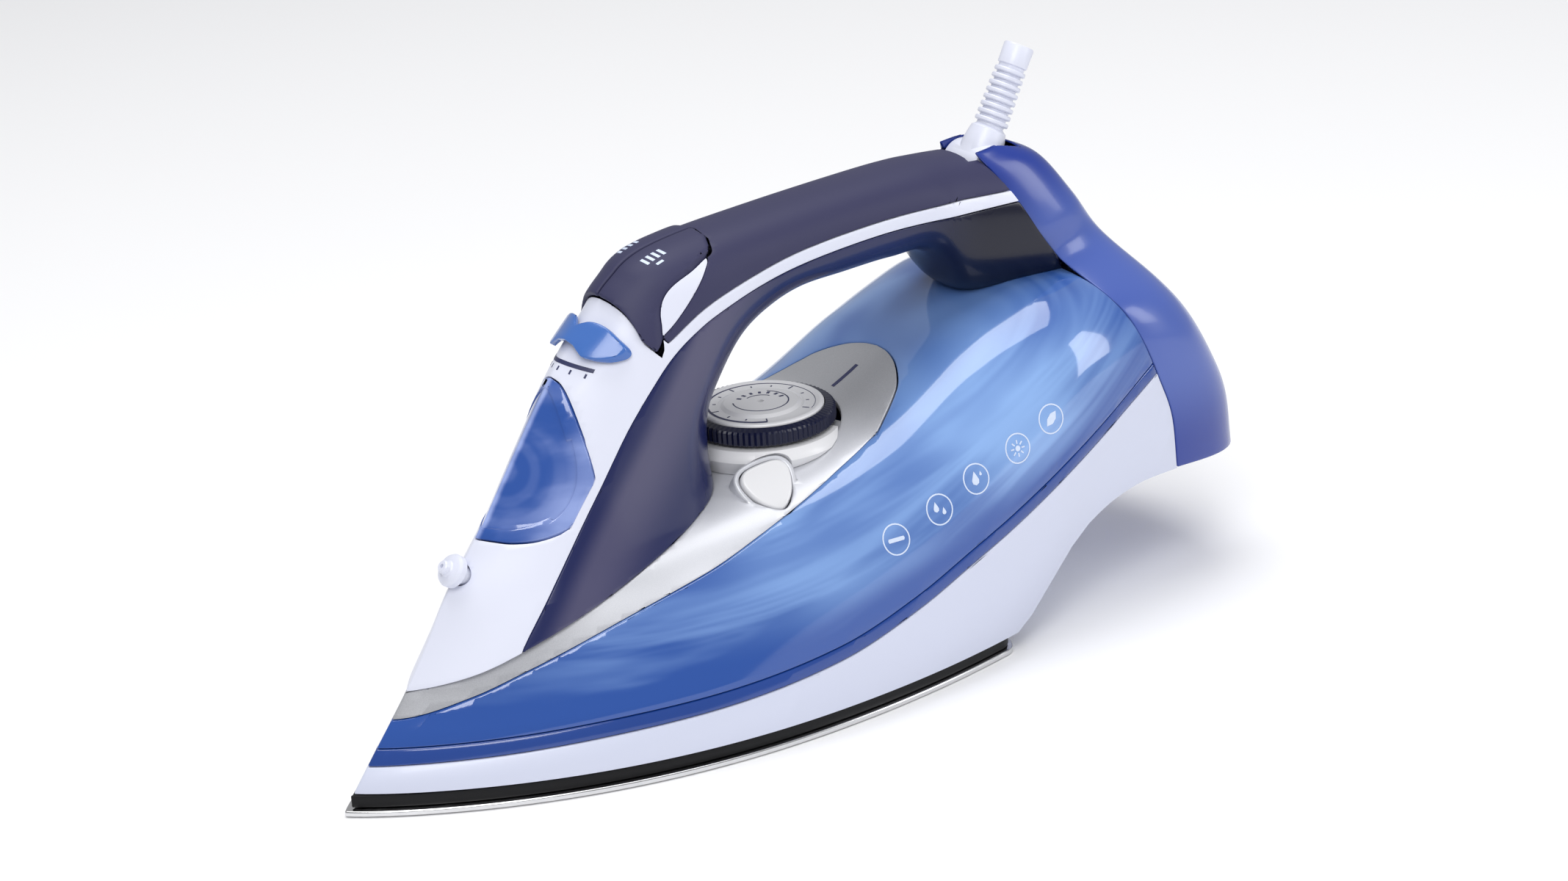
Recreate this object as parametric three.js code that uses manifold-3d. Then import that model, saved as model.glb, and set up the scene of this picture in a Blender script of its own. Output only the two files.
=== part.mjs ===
// A steam iron resting on its soleplate: nose towards -X, heel towards +X, +Z up, millimetres.
import * as THREE from 'three';
import { LoftGeometry } from 'three/addons/geometries/LoftGeometry.js';
import { mergeVertices } from 'three/addons/utils/BufferGeometryUtils.js';
import Module from 'manifold-3d';

const wasm = await Module();
wasm.setup();

// ---------- driving dimensions ----------
const NOSE = -158;              // front tip of the soleplate
const HEEL = 169;               // rearmost point of the back cover
const SOLE_HALF_WIDTH = 56;
const WIDEST_X = -5;            // where the soleplate is widest
const SOLE_END = 60;
const SOLE_THICKNESS = 1.8;
const SHIELD_TOP = 6.2;         // black heat shield between the sole and the lower shell
const WALL = 2.2;
const GAP = 0.3;                // between neighbouring pieces
const RIM_HEIGHT = 4.5;         // tank floor flange that shows as a band
const DIAL = { x: 1.2, top: 86.4, disc: 19.5, ring: 23.2 };
const BUTTON_TILT = Math.PI / 4;
const RIDGE_TILT = Math.atan2(42, 32); // slope of the front ridge, which the lid, lever and nozzle follow
const GUARD = { x: 90, z: 141, lean: 0.52, length: 40 };

// ---------- interpolation ----------
// A smooth curve through rows [key, value, ...]: level at turning points, so it never overshoots.
function curve(rows) {
  const n = rows.length - 1;
  const size = rows[0].length - 1;
  const step = (i) => rows[i + 1][0] - rows[i][0];
  const slope = (i, k) => (rows[i + 1][k] - rows[i][k]) / step(i);
  const even = rows.every((r, i) => i >= n || Math.abs(step(i) - step(0)) < 1e-6);
  const tangent = rows.map((row, i) => Array.from({ length: size }, (_, k) => {
    if (i === 0) return slope(0, k + 1);
    if (i === n) return slope(n - 1, k + 1);
    const a = slope(i - 1, k + 1);
    const b = slope(i, k + 1);
    if (even) return (a + b) / 2;
    return a * b <= 0 ? 0 : 2 * a * b / (a + b);
  }));
  return (x) => {
    const key = Math.min(Math.max(x, rows[0][0]), rows[n][0]);
    let i = 0;
    while (i < n - 1 && key > rows[i + 1][0]) i += 1;
    const h = step(i);
    const u = (key - rows[i][0]) / h;
    const value = Array.from({ length: size }, (_, k) =>
      (2 * u ** 3 - 3 * u ** 2 + 1) * rows[i][k + 1] + (u ** 3 - 2 * u ** 2 + u) * h * tangent[i][k]
      + (3 * u ** 2 - 2 * u ** 3) * rows[i + 1][k + 1] + (u ** 3 - u ** 2) * h * tangent[i + 1][k]);
    return size === 1 ? value[0] : value;
  };
}

// ---------- the outline that everything follows ----------
// Half-width of the soleplate at x, carried on behind it for the heel.
function soleHalf(x) {
  if (x <= NOSE) return 0;
  if (x > SOLE_END) return 49.4 - 0.11 * (x - SOLE_END);
  if (x > WIDEST_X) return SOLE_HALF_WIDTH - 0.00156 * (x - WIDEST_X) ** 2;
  return SOLE_HALF_WIDTH * Math.max(0, 1 - ((WIDEST_X - x) / (WIDEST_X - NOSE)) ** 2.2) ** 0.9;
}

// How far the nose has moved back at height z: the front ridge.
const ridgeShift = curve([[0, -1], [13, 9], [33, 25], [58, 41.5], [96, 69], [123, 90], [160, 118]]);
// Top of the hull, and its underside behind the soleplate.
const hullTop = curve([[-160, 58], [-100, 60], [-60, 63], [-40, 67.5], [0, 75], [25, 82], [35, 86],
  [45, 91], [55, 96], [75, 103], [92, 107], [136, 108]]);
const hullFloor = curve([[-160, SHIELD_TOP], [58, SHIELD_TOP], [69, 14], [80, 25.5], [91, 33.5], [104, 38],
  [116, 39.5], [136, 38.5]]);
const SHOULDER = 3.6;           // squareness of the hull's cross-section

const hullHalf = (x, z, inset) => Math.max(0, soleHalf(x - ridgeShift(z) - inset) - inset);

// Highest z that the hull has at x: its top, or the ridge where that is lower.
function hullCrest(x, inset) {
  let low = hullFloor(x);
  let high = hullTop(x) - inset;
  if (hullHalf(x, high, inset) > 0) return high;
  for (let i = 0; i < 40; i += 1) {
    const mid = (low + high) / 2;
    if (hullHalf(x, mid, inset) > 0) low = mid; else high = mid;
  }
  return low;
}

// ---------- mesh helpers ----------
function solid(geometry) {
  const bare = geometry.index ? geometry.toNonIndexed() : geometry.clone();
  bare.deleteAttribute('normal');
  bare.deleteAttribute('uv');
  const merged = mergeVertices(bare, 1e-4);
  const all = merged.index.array;
  const kept = [];
  for (let i = 0; i < all.length; i += 3) {
    const [a, b, c] = [all[i], all[i + 1], all[i + 2]];
    if (a !== b && b !== c && a !== c) kept.push(a, b, c);
  }
  const made = new wasm.Manifold(new wasm.Mesh({
    numProp: 3,
    vertProperties: new Float32Array(merged.attributes.position.array),
    triVerts: new Uint32Array(kept),
  }));
  if (made.volume() >= 0) return made;
  for (let i = 0; i < kept.length; i += 3) [kept[i + 1], kept[i + 2]] = [kept[i + 2], kept[i + 1]];
  return new wasm.Manifold(new wasm.Mesh({
    numProp: 3,
    vertProperties: new Float32Array(merged.attributes.position.array),
    triVerts: new Uint32Array(kept),
  }));
}

const lofted = (sections) => solid(new LoftGeometry(sections, { capStart: true, capEnd: true }));

// A flat outline pushed through the object: side view (x, z), top view (x, y), or any frame.
function prism(points, depth, matrix) {
  const shape = new THREE.Shape(points.map(([a, b]) => new THREE.Vector2(a, b)));
  const geometry = new THREE.ExtrudeGeometry(shape, { depth, bevelEnabled: false, steps: 1 });
  return solid(matrix ? geometry.applyMatrix4(matrix) : geometry);
}
const SIDE = new THREE.Matrix4().makeRotationX(Math.PI / 2).setPosition(0, 100, 0);
const sidePrism = (points) => prism(points, 200, SIDE);
const topPrism = (points, low, high) =>
  prism(points, high - low, new THREE.Matrix4().makeTranslation(0, 0, low));

// Points (x, f(x) + offset) along a curve, for cutting above or below it.
function trace(f, from, to, offset, step = 12) {
  const count = Math.max(2, Math.round((to - from) / step));
  return Array.from({ length: count + 1 }, (_, i) => {
    const x = from + (to - from) * i / count;
    return [x, f(x) + offset];
  });
}
const above = (f, offset, from = -170, to = 180) =>
  sidePrism([...trace(f, from, to, offset), [to, 260], [from, 260]]);
const below = (f, offset, from = -170, to = 180) =>
  sidePrism([[from, -60], [to, -60], ...trace(f, from, to, offset).reverse()]);

const box = (x0, x1, y0, y1, z0, z1) => solid(new THREE.BoxGeometry(x1 - x0, y1 - y0, z1 - z0)
  .translate((x0 + x1) / 2, (y0 + y1) / 2, (z0 + z1) / 2));

// A turned piece: profile [radius, height], axis through (x, y, z) leaning back by lean about Y.
function turned(profile, x = 0, y = 0, z = 0, lean = 0, segments = 16) {
  const points = profile.map(([r, h]) => new THREE.Vector2(r, h));
  const geometry = new THREE.LatheGeometry(points, segments).rotateX(Math.PI / 2);
  return solid(geometry.rotateY(lean).translate(x, y, z));
}
const rod = (r, h0, h1, x, y, z, lean = 0, segments = 12) =>
  turned([[0, h0], [r, h0], [r, h1], [0, h1]], x, y, z, lean, segments);
const crossRod = (r, half, x, z, segments = 16) =>
  solid(new THREE.CylinderGeometry(r, r, 2 * half, segments).translate(x, 0, z));

// A frame on the centre plane with its Z leaning back by angle, and one rolled and pitched anywhere.
const tiltFrame = (x, z, angle) => new THREE.Matrix4().makeBasis(
  new THREE.Vector3(Math.cos(angle), 0, Math.sin(angle)),
  new THREE.Vector3(0, 1, 0),
  new THREE.Vector3(-Math.sin(angle), 0, Math.cos(angle)),
).setPosition(x, 0, z);
const rolledFrame = (x, y, z, roll, pitch) => new THREE.Matrix4().makeTranslation(x, y, z)
  .multiply(new THREE.Matrix4().makeRotationX(roll)).multiply(new THREE.Matrix4().makeRotationY(pitch));
const inFrame = (made, frame) => made.transform([...frame.elements]);
const framed = (points, low, high, frame) =>
  prism(points, high - low, frame.clone().multiply(new THREE.Matrix4().makeTranslation(0, 0, low)));
// An outline about its own centre, made larger all round.
const grown = (points, by) => points.map(([a, b]) => {
  const r = Math.hypot(a, b);
  return [a * (r + by) / r, b * (r + by) / r];
});

const roundPoints = (r, sides) => Array.from({ length: sides }, (_, i) =>
  [r * Math.cos(2 * Math.PI * i / sides), r * Math.sin(2 * Math.PI * i / sides)]);
// A tube along a smooth curve through points.
function tube(points, r, steps, sides = 6) {
  const extrudePath = new THREE.CatmullRomCurve3(points.map(([x, y, z]) => new THREE.Vector3(x, y, z)));
  const shape = new THREE.Shape(roundPoints(r, sides).map(([a, b]) => new THREE.Vector2(a, b)));
  return solid(new THREE.ExtrudeGeometry(shape, { steps, bevelEnabled: false, extrudePath }));
}

const iron = new THREE.Group();
// The origin is midway between nose and heel, on the surface that the iron stands on.
iron.position.x = -(NOSE + HEEL) / 2;

function place(name, made, look) {
  const mesh = made.getMesh();
  const geometry = new THREE.BufferGeometry();
  geometry.setAttribute('position', new THREE.BufferAttribute(mesh.vertProperties, 3));
  geometry.setIndex(new THREE.BufferAttribute(mesh.triVerts, 1));
  geometry.computeVertexNormals();
  const piece = new THREE.Mesh(geometry, look);
  piece.name = name;
  iron.add(piece);
}

const paint = (color, roughness, metalness = 0, opacity = 1) =>
  new THREE.MeshStandardMaterial({ color, roughness, metalness, opacity, transparent: opacity < 1 });
const LOOK = {
  steel: paint(0xc9ccd0, 0.25, 1),
  cast: paint(0x9b9da0, 0.55, 0.8),
  black: paint(0x0b0b0d, 0.45),
  pearl: paint(0xdcdfee, 0.3),
  silver: paint(0xb9bac2, 0.35, 0.3),
  blue: paint(0x2f62b4, 0.12, 0, 0.8),
  rim: paint(0x1b3f8c, 0.15),
  navy: paint(0x252a5c, 0.2),
  grip: paint(0x3c3d63, 0.55),
  cover: paint(0x3b53b0, 0.25),
  white: paint(0xe9ebf4, 0.35),
  brass: paint(0xb08d45, 0.4, 0.9),
  clear: paint(0xd8e4f4, 0.1, 0, 0.5),
};

// ---------- hull: one smooth body that the shells and the tank are cut from ----------
const HULL_STATIONS = [-153.5, -149, -142, -132, -118, -102, -84, -64, -42, -18, 5, 24, 38, 52, 64, 78, 92,
  106, 120, 136];
const HULL_ARC = 6;             // points on each side of a section

function hull(inset, floorOf = hullFloor, last = 136) {
  const rows = HULL_STATIONS.map((x) => Math.min(x, last))
    .filter((x) => hullCrest(x, inset) > floorOf(x) + 0.3);
  const stations = [...new Set(rows)];
  return lofted(stations.map((x) => {
    const floor = floorOf(x);
    const top = hullTop(x) - inset;
    const crest = hullCrest(x, inset);
    const end = crest >= top - 1e-6 ? 1 : ((crest - floor) / (top - floor)) ** (SHOULDER / 2);
    const side = [];
    for (let i = 0; i <= HULL_ARC; i += 1) {
      const angle = Math.asin(end) * i / HULL_ARC;
      const z = floor + (top - floor) * Math.sin(angle) ** (2 / SHOULDER);
      const y = hullHalf(x, z, inset) * Math.max(Math.cos(angle), 0) ** (2 / SHOULDER);
      side.push([i === HULL_ARC ? 0 : y, z]);
    }
    const far = side.map(([y, z]) => new THREE.Vector3(x, y, z));
    const near = side.slice(0, -1).reverse().map(([y, z]) => new THREE.Vector3(x, -y, z));
    return [...far, ...near];
  }));
}

const hullSolid = hull(0);
const hullInner = hull(WALL, (x) => (x < 62 ? 0 : hullFloor(x) + WALL), 128);
const hullShell = hullSolid.subtract(hullInner);

// Parting curves, side view: tank floor, lower edge of the silver band, deck under the handle.
const tankEdge = curve([[-170, 12], [-149, 12.9], [-115, 14.2], [-87, 15.6], [-51, 17.4], [-14, 21.5],
  [16, 29.4], [37, 37], [60, 45.3], [83, 55.5], [118, 72.5], [136, 82]]);
const bandEdge = curve([[-170, 23], [-138, 25.3], [-119, 30.5], [-104, 36.2], [-75, 46.8], [-48, 54.9],
  [-30, 61], [-3, 69.6], [13, 75], [26, 79.5], [60, 86]]);
const deckEdge = curve([[-170, 22], [-133, 32.2], [-117, 37], [-103, 42.6], [-84, 50], [-57, 59.8],
  [-39, 66.3], [-25, 71.5], [-10, 100]]);
// Back cover: [seam x, y, z, rear x, z] from the handle down to the heel
const COVER_ROWS = [
  [83, -9, 148.5, 96, 149.5],
  [89, -15, 138, 109, 143],
  [98, -19.5, 122, 120, 129],
  [106, -22, 110.5, 130, 114],
  [112, -40, 99, 141, 99],
  [117, -45.5, 88, 150, 87],
  [123, -47.2, 73, 159, 71],
  [129, -46.5, 58, 165.5, 56],
  [132, -44.7, 39, HEEL, 37],
];
const COVER_STEPS = 14;
const coverRow = curve(COVER_ROWS.map((row, i) => [i, ...row]));
const coverAt = (from, to, i) => coverRow(from + (to - from) * i / COVER_STEPS);
const COVER_END = COVER_ROWS.length - 1;
// The seam between the body and the back cover in side view.
const SEAM = [[81, 154], ...Array.from({ length: COVER_STEPS + 1 }, (_, i) => coverAt(0, COVER_END, i))
  .map(([x, , z]) => [x, z])];
const frontOfSeam = (offset) => sidePrism([[-175, -20], ...[[133, -20], ...[...SEAM].reverse()]
  .map(([x, z]) => [x - offset, z]), [78, 200], [-175, 200]]);
const body = frontOfSeam(GAP);

// ---------- handle: sections swept between an inner curve and an outer curve ----------
// [inner x, z, outer x, z, half-width, place of the widest point, inner and outer squareness, outer power]
const HANDLE_ROWS = [
  [-30, 50, -142, 20, 28, 0.46, 2.6, 2.2, 0.9],
  [-25, 64, -126, 43, 26, 0.45, 2.6, 2.2, 0.9],
  [-24, 71, -117, 57.5, 23.5, 0.43, 2.6, 2.2, 0.9],
  [-25, 82, -104, 74, 21.5, 0.42, 2.6, 2.2, 0.9],
  [-24, 95, -90, 94, 20.5, 0.42, 2.6, 2.2, 0.85],
  [-17, 106, -75, 114, 19.5, 0.45, 2.6, 2.2, 0.75],
  [-8, 114, -57.5, 131, 18.5, 0.5, 2.4, 2.3, 0.55],
  [3, 119, -47, 142.5, 17.5, 0.5, 2.4, 2.4, 0.44],
  [15, 121.8, -28, 146.5, 16.5, 0.5, 2.4, 2.4, 0.42],
  [30, 122, 5, 148.5, 16, 0.5, 2.4, 2.4, 0.42],
  [48, 122, 40, 149.5, 16, 0.5, 2.4, 2.4, 0.42],
  [64, 120, 60, 149.5, 16.5, 0.5, 2.4, 2.4, 0.42],
  [77, 104, 71, 149, 18, 0.45, 2.4, 2.4, 0.42],
  [108, 97, 84, 147.5, 21, 0.42, 2.4, 2.4, 0.42],
  [122, 94, 97, 146.5, 22, 0.42, 2.4, 2.4, 0.42],
];
const LAST = HANDLE_ROWS.length - 1;
const handleRow = curve(HANDLE_ROWS.map((row, i) => [i, ...row]));
const HANDLE_ARC = 7;

function handlePoint(s, turn, inset) {
  const [ix, iz, ox, oz, half, widest, inSquare, outSquare, outPower] = handleRow(s);
  const length = Math.hypot(ox - ix, oz - iz);
  const [dx, dz] = [(ox - ix) / length, (oz - iz) / length];
  const noseInset = inset * (1 + 1.2 * Math.max(0, Math.min(1, 6 - s)));
  const q = (1 - Math.cos(Math.PI * turn)) / 2;
  const along = inset + q * (length - inset - noseInset);
  const y = q < widest
    ? Math.max(0, 1 - ((widest - q) / widest) ** inSquare) ** (1 / inSquare)
    : Math.max(0, 1 - ((q - widest) / (1 - widest)) ** outSquare) ** outPower;
  return [ix + dx * along, (half - inset) * y, iz + dz * along];
}

const HANDLE_STATIONS = [0, 1, 2, 3, 4, 4.5, 5, 5.5, 6, 6.5, 7, 7.5, 8, 9, 10, 11, 11.5, 12, 12.5, 13, 14];

function handle(inset, from = 0, to = LAST) {
  const sections = [];
  for (const s of HANDLE_STATIONS.filter((station) => station >= from && station <= to)) {
    const ring = [];
    for (let i = 0; i <= HANDLE_ARC; i += 1) ring.push([1, i / HANDLE_ARC]);
    for (let i = HANDLE_ARC - 1; i >= 1; i -= 1) ring.push([-1, i / HANDLE_ARC]);
    sections.push(ring.map(([side, turn]) => {
      const [x, y, z] = handlePoint(s, turn, inset);
      return new THREE.Vector3(x, turn === 0 || turn === 1 ? 0 : side * y, z);
    }));
  }
  return lofted(sections);
}

// ---------- sole and heater ----------
function soleOutline(inset, end, steps = 11) {
  const side = [];
  for (let i = 1; i <= steps; i += 1) {
    const x = NOSE + inset * 1.6 + (end - 8 - NOSE - inset * 1.6) * (i / steps) ** 1.6;
    side.push([x, Math.max(soleHalf(x - inset) - inset, 0.4)]);
  }
  const half = side[side.length - 1][1];
  side.push([end - 2.5, half - 3], [end, half - 9]);
  const nose = [NOSE + inset * 1.6, 0];
  return [nose, ...side.map(([x, y]) => [x, -y]), ...side.reverse()];
}

const STEAM_ROWS = [[-128, 0], [-112, 12], [-96, 20], [-78, 27], [-58, 33], [-36, 37], [-12, 39],
  [14, 39], [38, 37]];
let sole = topPrism(soleOutline(0, SOLE_END), 0, SOLE_THICKNESS);
for (const [x, y] of STEAM_ROWS) {
  for (const side of y === 0 ? [1] : [-1, 1]) {
    sole = sole.subtract(rod(1.8, -1, 5, x, side * y, 0, 0, 6));
  }
}
place('soleplate', sole, LOOK.steel);

const CAST = { low: SOLE_THICKNESS + GAP, high: 11.2, inset: 9 };
const ELEMENT = { z: 8.2, radius: 2.2, steps: 20 };
const elementPath = [[44, -26], [10, -30], [-40, -29], [-84, -19], [-104, 0], [-84, 19], [-40, 29], [10, 30],
  [44, 26]].map(([x, y]) => [x, y, ELEMENT.z]);
const groove = tube(elementPath, ELEMENT.radius + 0.6, ELEMENT.steps);
const channel = groove.add(groove.translate(0, 0, 3));
place('sole_casting', topPrism(soleOutline(CAST.inset, SOLE_END - 8, 9), CAST.low, CAST.high)
  .subtract(topPrism(soleOutline(36, 30, 7), 5.4, 20))
  .subtract(channel), LOOK.cast);
place('heating_element', tube(elementPath, ELEMENT.radius, ELEMENT.steps), LOOK.black);
place('steam_chamber_cover', topPrism(soleOutline(33, 33, 7), CAST.high + GAP, CAST.high + 1.7), LOOK.cast);
place('heat_shield', topPrism(soleOutline(1.6, SOLE_END - 1), SOLE_THICKNESS + GAP, SHIELD_TOP - GAP)
  .subtract(topPrism(soleOutline(CAST.inset - GAP * 2, SOLE_END - 7, 9), 0, 20)), LOOK.black);

// ---------- shells and tank ----------
const floorSlab = hullSolid.intersect(above(tankEdge, GAP)).intersect(below(tankEdge, RIM_HEIGHT))
  .intersect(body);
const spindleHole = rod(6.6, 0, 120, DIAL.x, 0, 0);
const valveHole = rod(4.4, 0, 90, -50, 0, 0);
place('lower_shell', hullShell.intersect(below(tankEdge, 0)).intersect(body), LOOK.pearl);
place('tank_floor', floorSlab.subtract(spindleHole).subtract(valveHole), LOOK.rim);

// The console reaches from the nose band to an oval end behind the dial.
const consoleSide = [[-170, 70], [-3, 40], [13, 34.5], [20, 31.5], [26, 28.2], [34, 23.6], [39, 19.8],
  [44, 12.7], [46.6, 6]];
const consolePlan = (grow) => topPrism([...consoleSide.map(([x, y]) => [x + grow, -y - grow]),
  [47.4 + grow, 0],  ...[...consoleSide].reverse().map(([x, y]) => [x + grow, y + grow])], 0, 140);
const deckCut = (offset) => below(deckEdge, offset, -170, -24.9)
  .add(sidePrism([[-25.2, -60], [180, -60], [180, 200], [-25.2, 200]]));
const hullDecked = hullSolid.intersect(deckCut(0)).subtract(hullInner.intersect(deckCut(-WALL)));
const consoleZone = (grow) => consolePlan(grow).intersect(above(bandEdge, -grow));
const dialWell = rod(DIAL.ring + 1.2, 78.2, 130, DIAL.x, 0, 0, 0, 24);

// The self-cleaning button on one side of the dial and the pilot lamp on the other.
const buttonPose = { x: -16.5, y: -26, z: 70.4 };
const cleanFrame = rolledFrame(buttonPose.x, buttonPose.y, buttonPose.z, 0.82, -0.2);
const lampFrame = rolledFrame(buttonPose.x, -buttonPose.y, buttonPose.z, -0.62, -0.2);
const CLEAN_OUTLINE = [[-1.6, -8], [1.6, -8], [5.8, -3.6], [8, 3], [6, 6.6], [0, 7.4], [-6, 6.6], [-8, 3],
  [-5.8, -3.6]];
const cleanRoom = framed(grown(CLEAN_OUTLINE, 2.4), -8, 9, cleanFrame);
place('console', hullDecked.intersect(consoleZone(0))
  .add(framed(grown(CLEAN_OUTLINE, 2), -6, 0.6, cleanFrame))
  .subtract(dialWell).subtract(spindleHole).subtract(valveHole)
  .subtract(framed(grown(CLEAN_OUTLINE, 0.4), -12, 12, cleanFrame))
  .subtract(inFrame(rod(3.4, -8, 8, 0, 0, 0), lampFrame)), LOOK.silver);
place('water_tank', hullShell.intersect(above(tankEdge, RIM_HEIGHT + GAP)).intersect(body)
  .subtract(consoleZone(GAP)).subtract(cleanRoom), LOOK.blue);

place('pilot_lamp_lens', inFrame(turned([[0, -4], [3, -4], [3, 1], [2.2, 1.8], [0, 2]]), lampFrame),
  LOOK.clear);
place('self_clean_button', framed(CLEAN_OUTLINE, -7, 2.2, cleanFrame), LOOK.white);

// ---------- temperature dial ----------
const hullGrown = hull(-GAP);
place('dial_collar', turned([[8, 66], [20.5, 66], [26.5, 76], [24, 79], [8, 79], [8, 66]], DIAL.x, 0, 0, 0,
  24)
  .subtract(hullGrown).subtract(handle(-0.4)).subtract(cleanRoom), LOOK.silver);
place('dial_ring', turned([[DIAL.disc + GAP, 80.4], [DIAL.ring, 80], [DIAL.ring, 84.4],
  [DIAL.disc + GAP, 85.2], [DIAL.disc + GAP, 80.4]], DIAL.x, 0, 0, 0, 28), LOOK.navy);
place('temperature_dial', turned([[2.9, 79.6], [5, 79.6], [5, 81.4], [DIAL.disc, 81.4], [DIAL.disc, 85.6],
  [DIAL.disc - 0.8, DIAL.top], [0, DIAL.top], [0, 84], [2.9, 84], [2.9, 79.6]], DIAL.x, 0, 0, 0, 24),
LOOK.white);
place('dial_spindle', rod(2.5, 30, 83.6, DIAL.x, 0, 0), LOOK.steel);
place('spindle_tube', turned([[3.2, 34], [6, 34], [6, 71], [3.2, 71], [3.2, 34]], DIAL.x, 0, 0), LOOK.rim);
place('thermostat', rod(8, 13.2, 21, DIAL.x, 0, 0).add(rod(3.4, 20, 29.6, DIAL.x, 0, 0)), LOOK.brass);

// ---------- handle shells ----------
const tankTop = hullGrown.intersect(box(30, 200, -90, 90, 0, 200));
const overDeck = sidePrism([...trace(deckEdge, -170, -26, GAP), [-26, 71.8], [60, 73], [200, 73], [200, 260],
  [-170, 260]]);
const handleZone = overDeck.intersect(body).subtract(tankTop);
const handleHollow = handle(0).subtract(handle(WALL));
const handleShell = handleHollow.intersect(handleZone);

// Side-view parting curves on the handle.
const coneEdge = [[-106, 38], [-104, 43.5], [-89, 62], [-75, 80], [-61, 99], [-48.6, 112.3], [-40.9, 118.7]];
const stripeLow = [[-33, 123], [-25, 126], [-9, 130], [11, 133], [41, 134.4], [68, 133.4], [92, 133.2],
  [140, 132.5]];
const stripeHigh = [[140, 136], [90, 136.9], [68, 137.9], [41, 138.6], [11, 137.3], [-9, 134.2], [-29, 129.2],
  [-43.5, 121.9]];
const gripFront = [[-45.2, 123.7], [-40.3, 127], [-34.1, 132.3], [-26.8, 139.3], [-24.4, 142.6], [-28, 147],
  [-30, 200]];
const moved = (points, dx, dz) => points.map(([x, z]) => [x + dx, z + dz]);

// Buttons and lid are cut along the way that they move, so their edges never bind.
const buttonFrame = tiltFrame(-38, 138, BUTTON_TILT);
const BUTTON_SIDE = [[-19.7, 17.8], [-17.5, 17.6], [-12, 15.9], [-9.2, 15], [-4.7, 14.4], [5.2, 14.2],
  [12, 12.8], [15.6, 11.6], [18.6, 7.5]];
const BUTTON_ARCH = [[-19.3, 15.6], [-16.8, 13], [-15, 9.5], [-14.2, 5]];
const buttonOutline = (grow) => {
  const side = BUTTON_SIDE.map(([a, b], i) => [a + (i < 2 ? -grow : i > 7 ? grow : 0), b + grow]);
  const arch = BUTTON_ARCH.map(([a, b]) => [a - grow, b]);
  return [[-14 - grow, 0], ...[...arch].reverse().map(([a, b]) => [a, -b]), ...side.map(([a, b]) => [a, -b]),
    [19.6 + grow, 0], ...[...side].reverse(), ...arch];
};
// the recess reaches deeper than the buttons, leaving them room to travel
const buttonZone = (grow) => framed(buttonOutline(grow), grow > 0 ? -11 : -8, 51, buttonFrame);

const lidFrame = tiltFrame(-104, 74, RIDGE_TILT);
const LID_SIDE = [[-1.5, 0], [0, 4.2], [2, 8.5], [6, 13], [12, 16.4], [19, 18], [27, 17.8], [34, 15.6],
  [41, 11.6], [46.5, 7.4], [49.6, 3.6]];
const lidOutline = (grow) => {
  const side = LID_SIDE.slice(1).map(([a, b]) => [a + (a < 12 ? -grow : a > 38 ? grow : 0), b + grow]);
  return [[LID_SIDE[0][0] - grow, 0], ...side.map(([a, b]) => [a, -b]), [50.4 + grow, 0], ...side.reverse()];
};
const lidZone = (grow, low, high) => framed(lidOutline(grow), low, high, lidFrame);

const whiteZone = sidePrism([...coneEdge, ...stripeLow, ...moved(stripeHigh, 0, -GAP),
  ...moved(gripFront, -0.2, 0), [-30, 220], [-190, 120], [-190, 20]]);
const navyZone = sidePrism([...moved(coneEdge, 0.25, -GAP), ...moved(stripeLow, 0, -GAP),
  [140, 60], [-24, 40], [-90, 30]]);
const gripZone = sidePrism([...moved(gripFront, 0.2, 0).reverse(),
  ...[...stripeHigh].reverse(), [140, 200]]);
const nozzleFrame = tiltFrame(-111.6, 63.4, RIDGE_TILT);
const nozzleHole = framed(roundPoints(3.7, 12), -20, 20, nozzleFrame);
const leverFrame = tiltFrame(-61.5, 123.5, RIDGE_TILT);
const leverHole = inFrame(rod(3, -16, 20, 0, 0, 0), leverFrame);
const [frontFrame, ...accents] = handleShell.intersect(whiteZone).subtract(buttonZone(0.4))
  .subtract(lidZone(0.4, -17, 30)).subtract(nozzleHole).subtract(leverHole)
  .decompose().sort((a, b) => b.volume() - a.volume());
place('front_frame', frontFrame, LOOK.pearl);
for (const accent of accents) {
  place(accent.boundingBox().max[1] < 0 ? 'accent_left' : 'accent_right', accent, LOOK.pearl);
}
place('handle_shell', handleShell.intersect(navyZone), LOOK.navy);
const swivelRoom = box(80.5, 101, -8.3, 8.3, 131, 170);
place('grip_cover', handleShell.intersect(gripZone).subtract(buttonZone(0.4)).subtract(swivelRoom),
  LOOK.grip);

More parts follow.
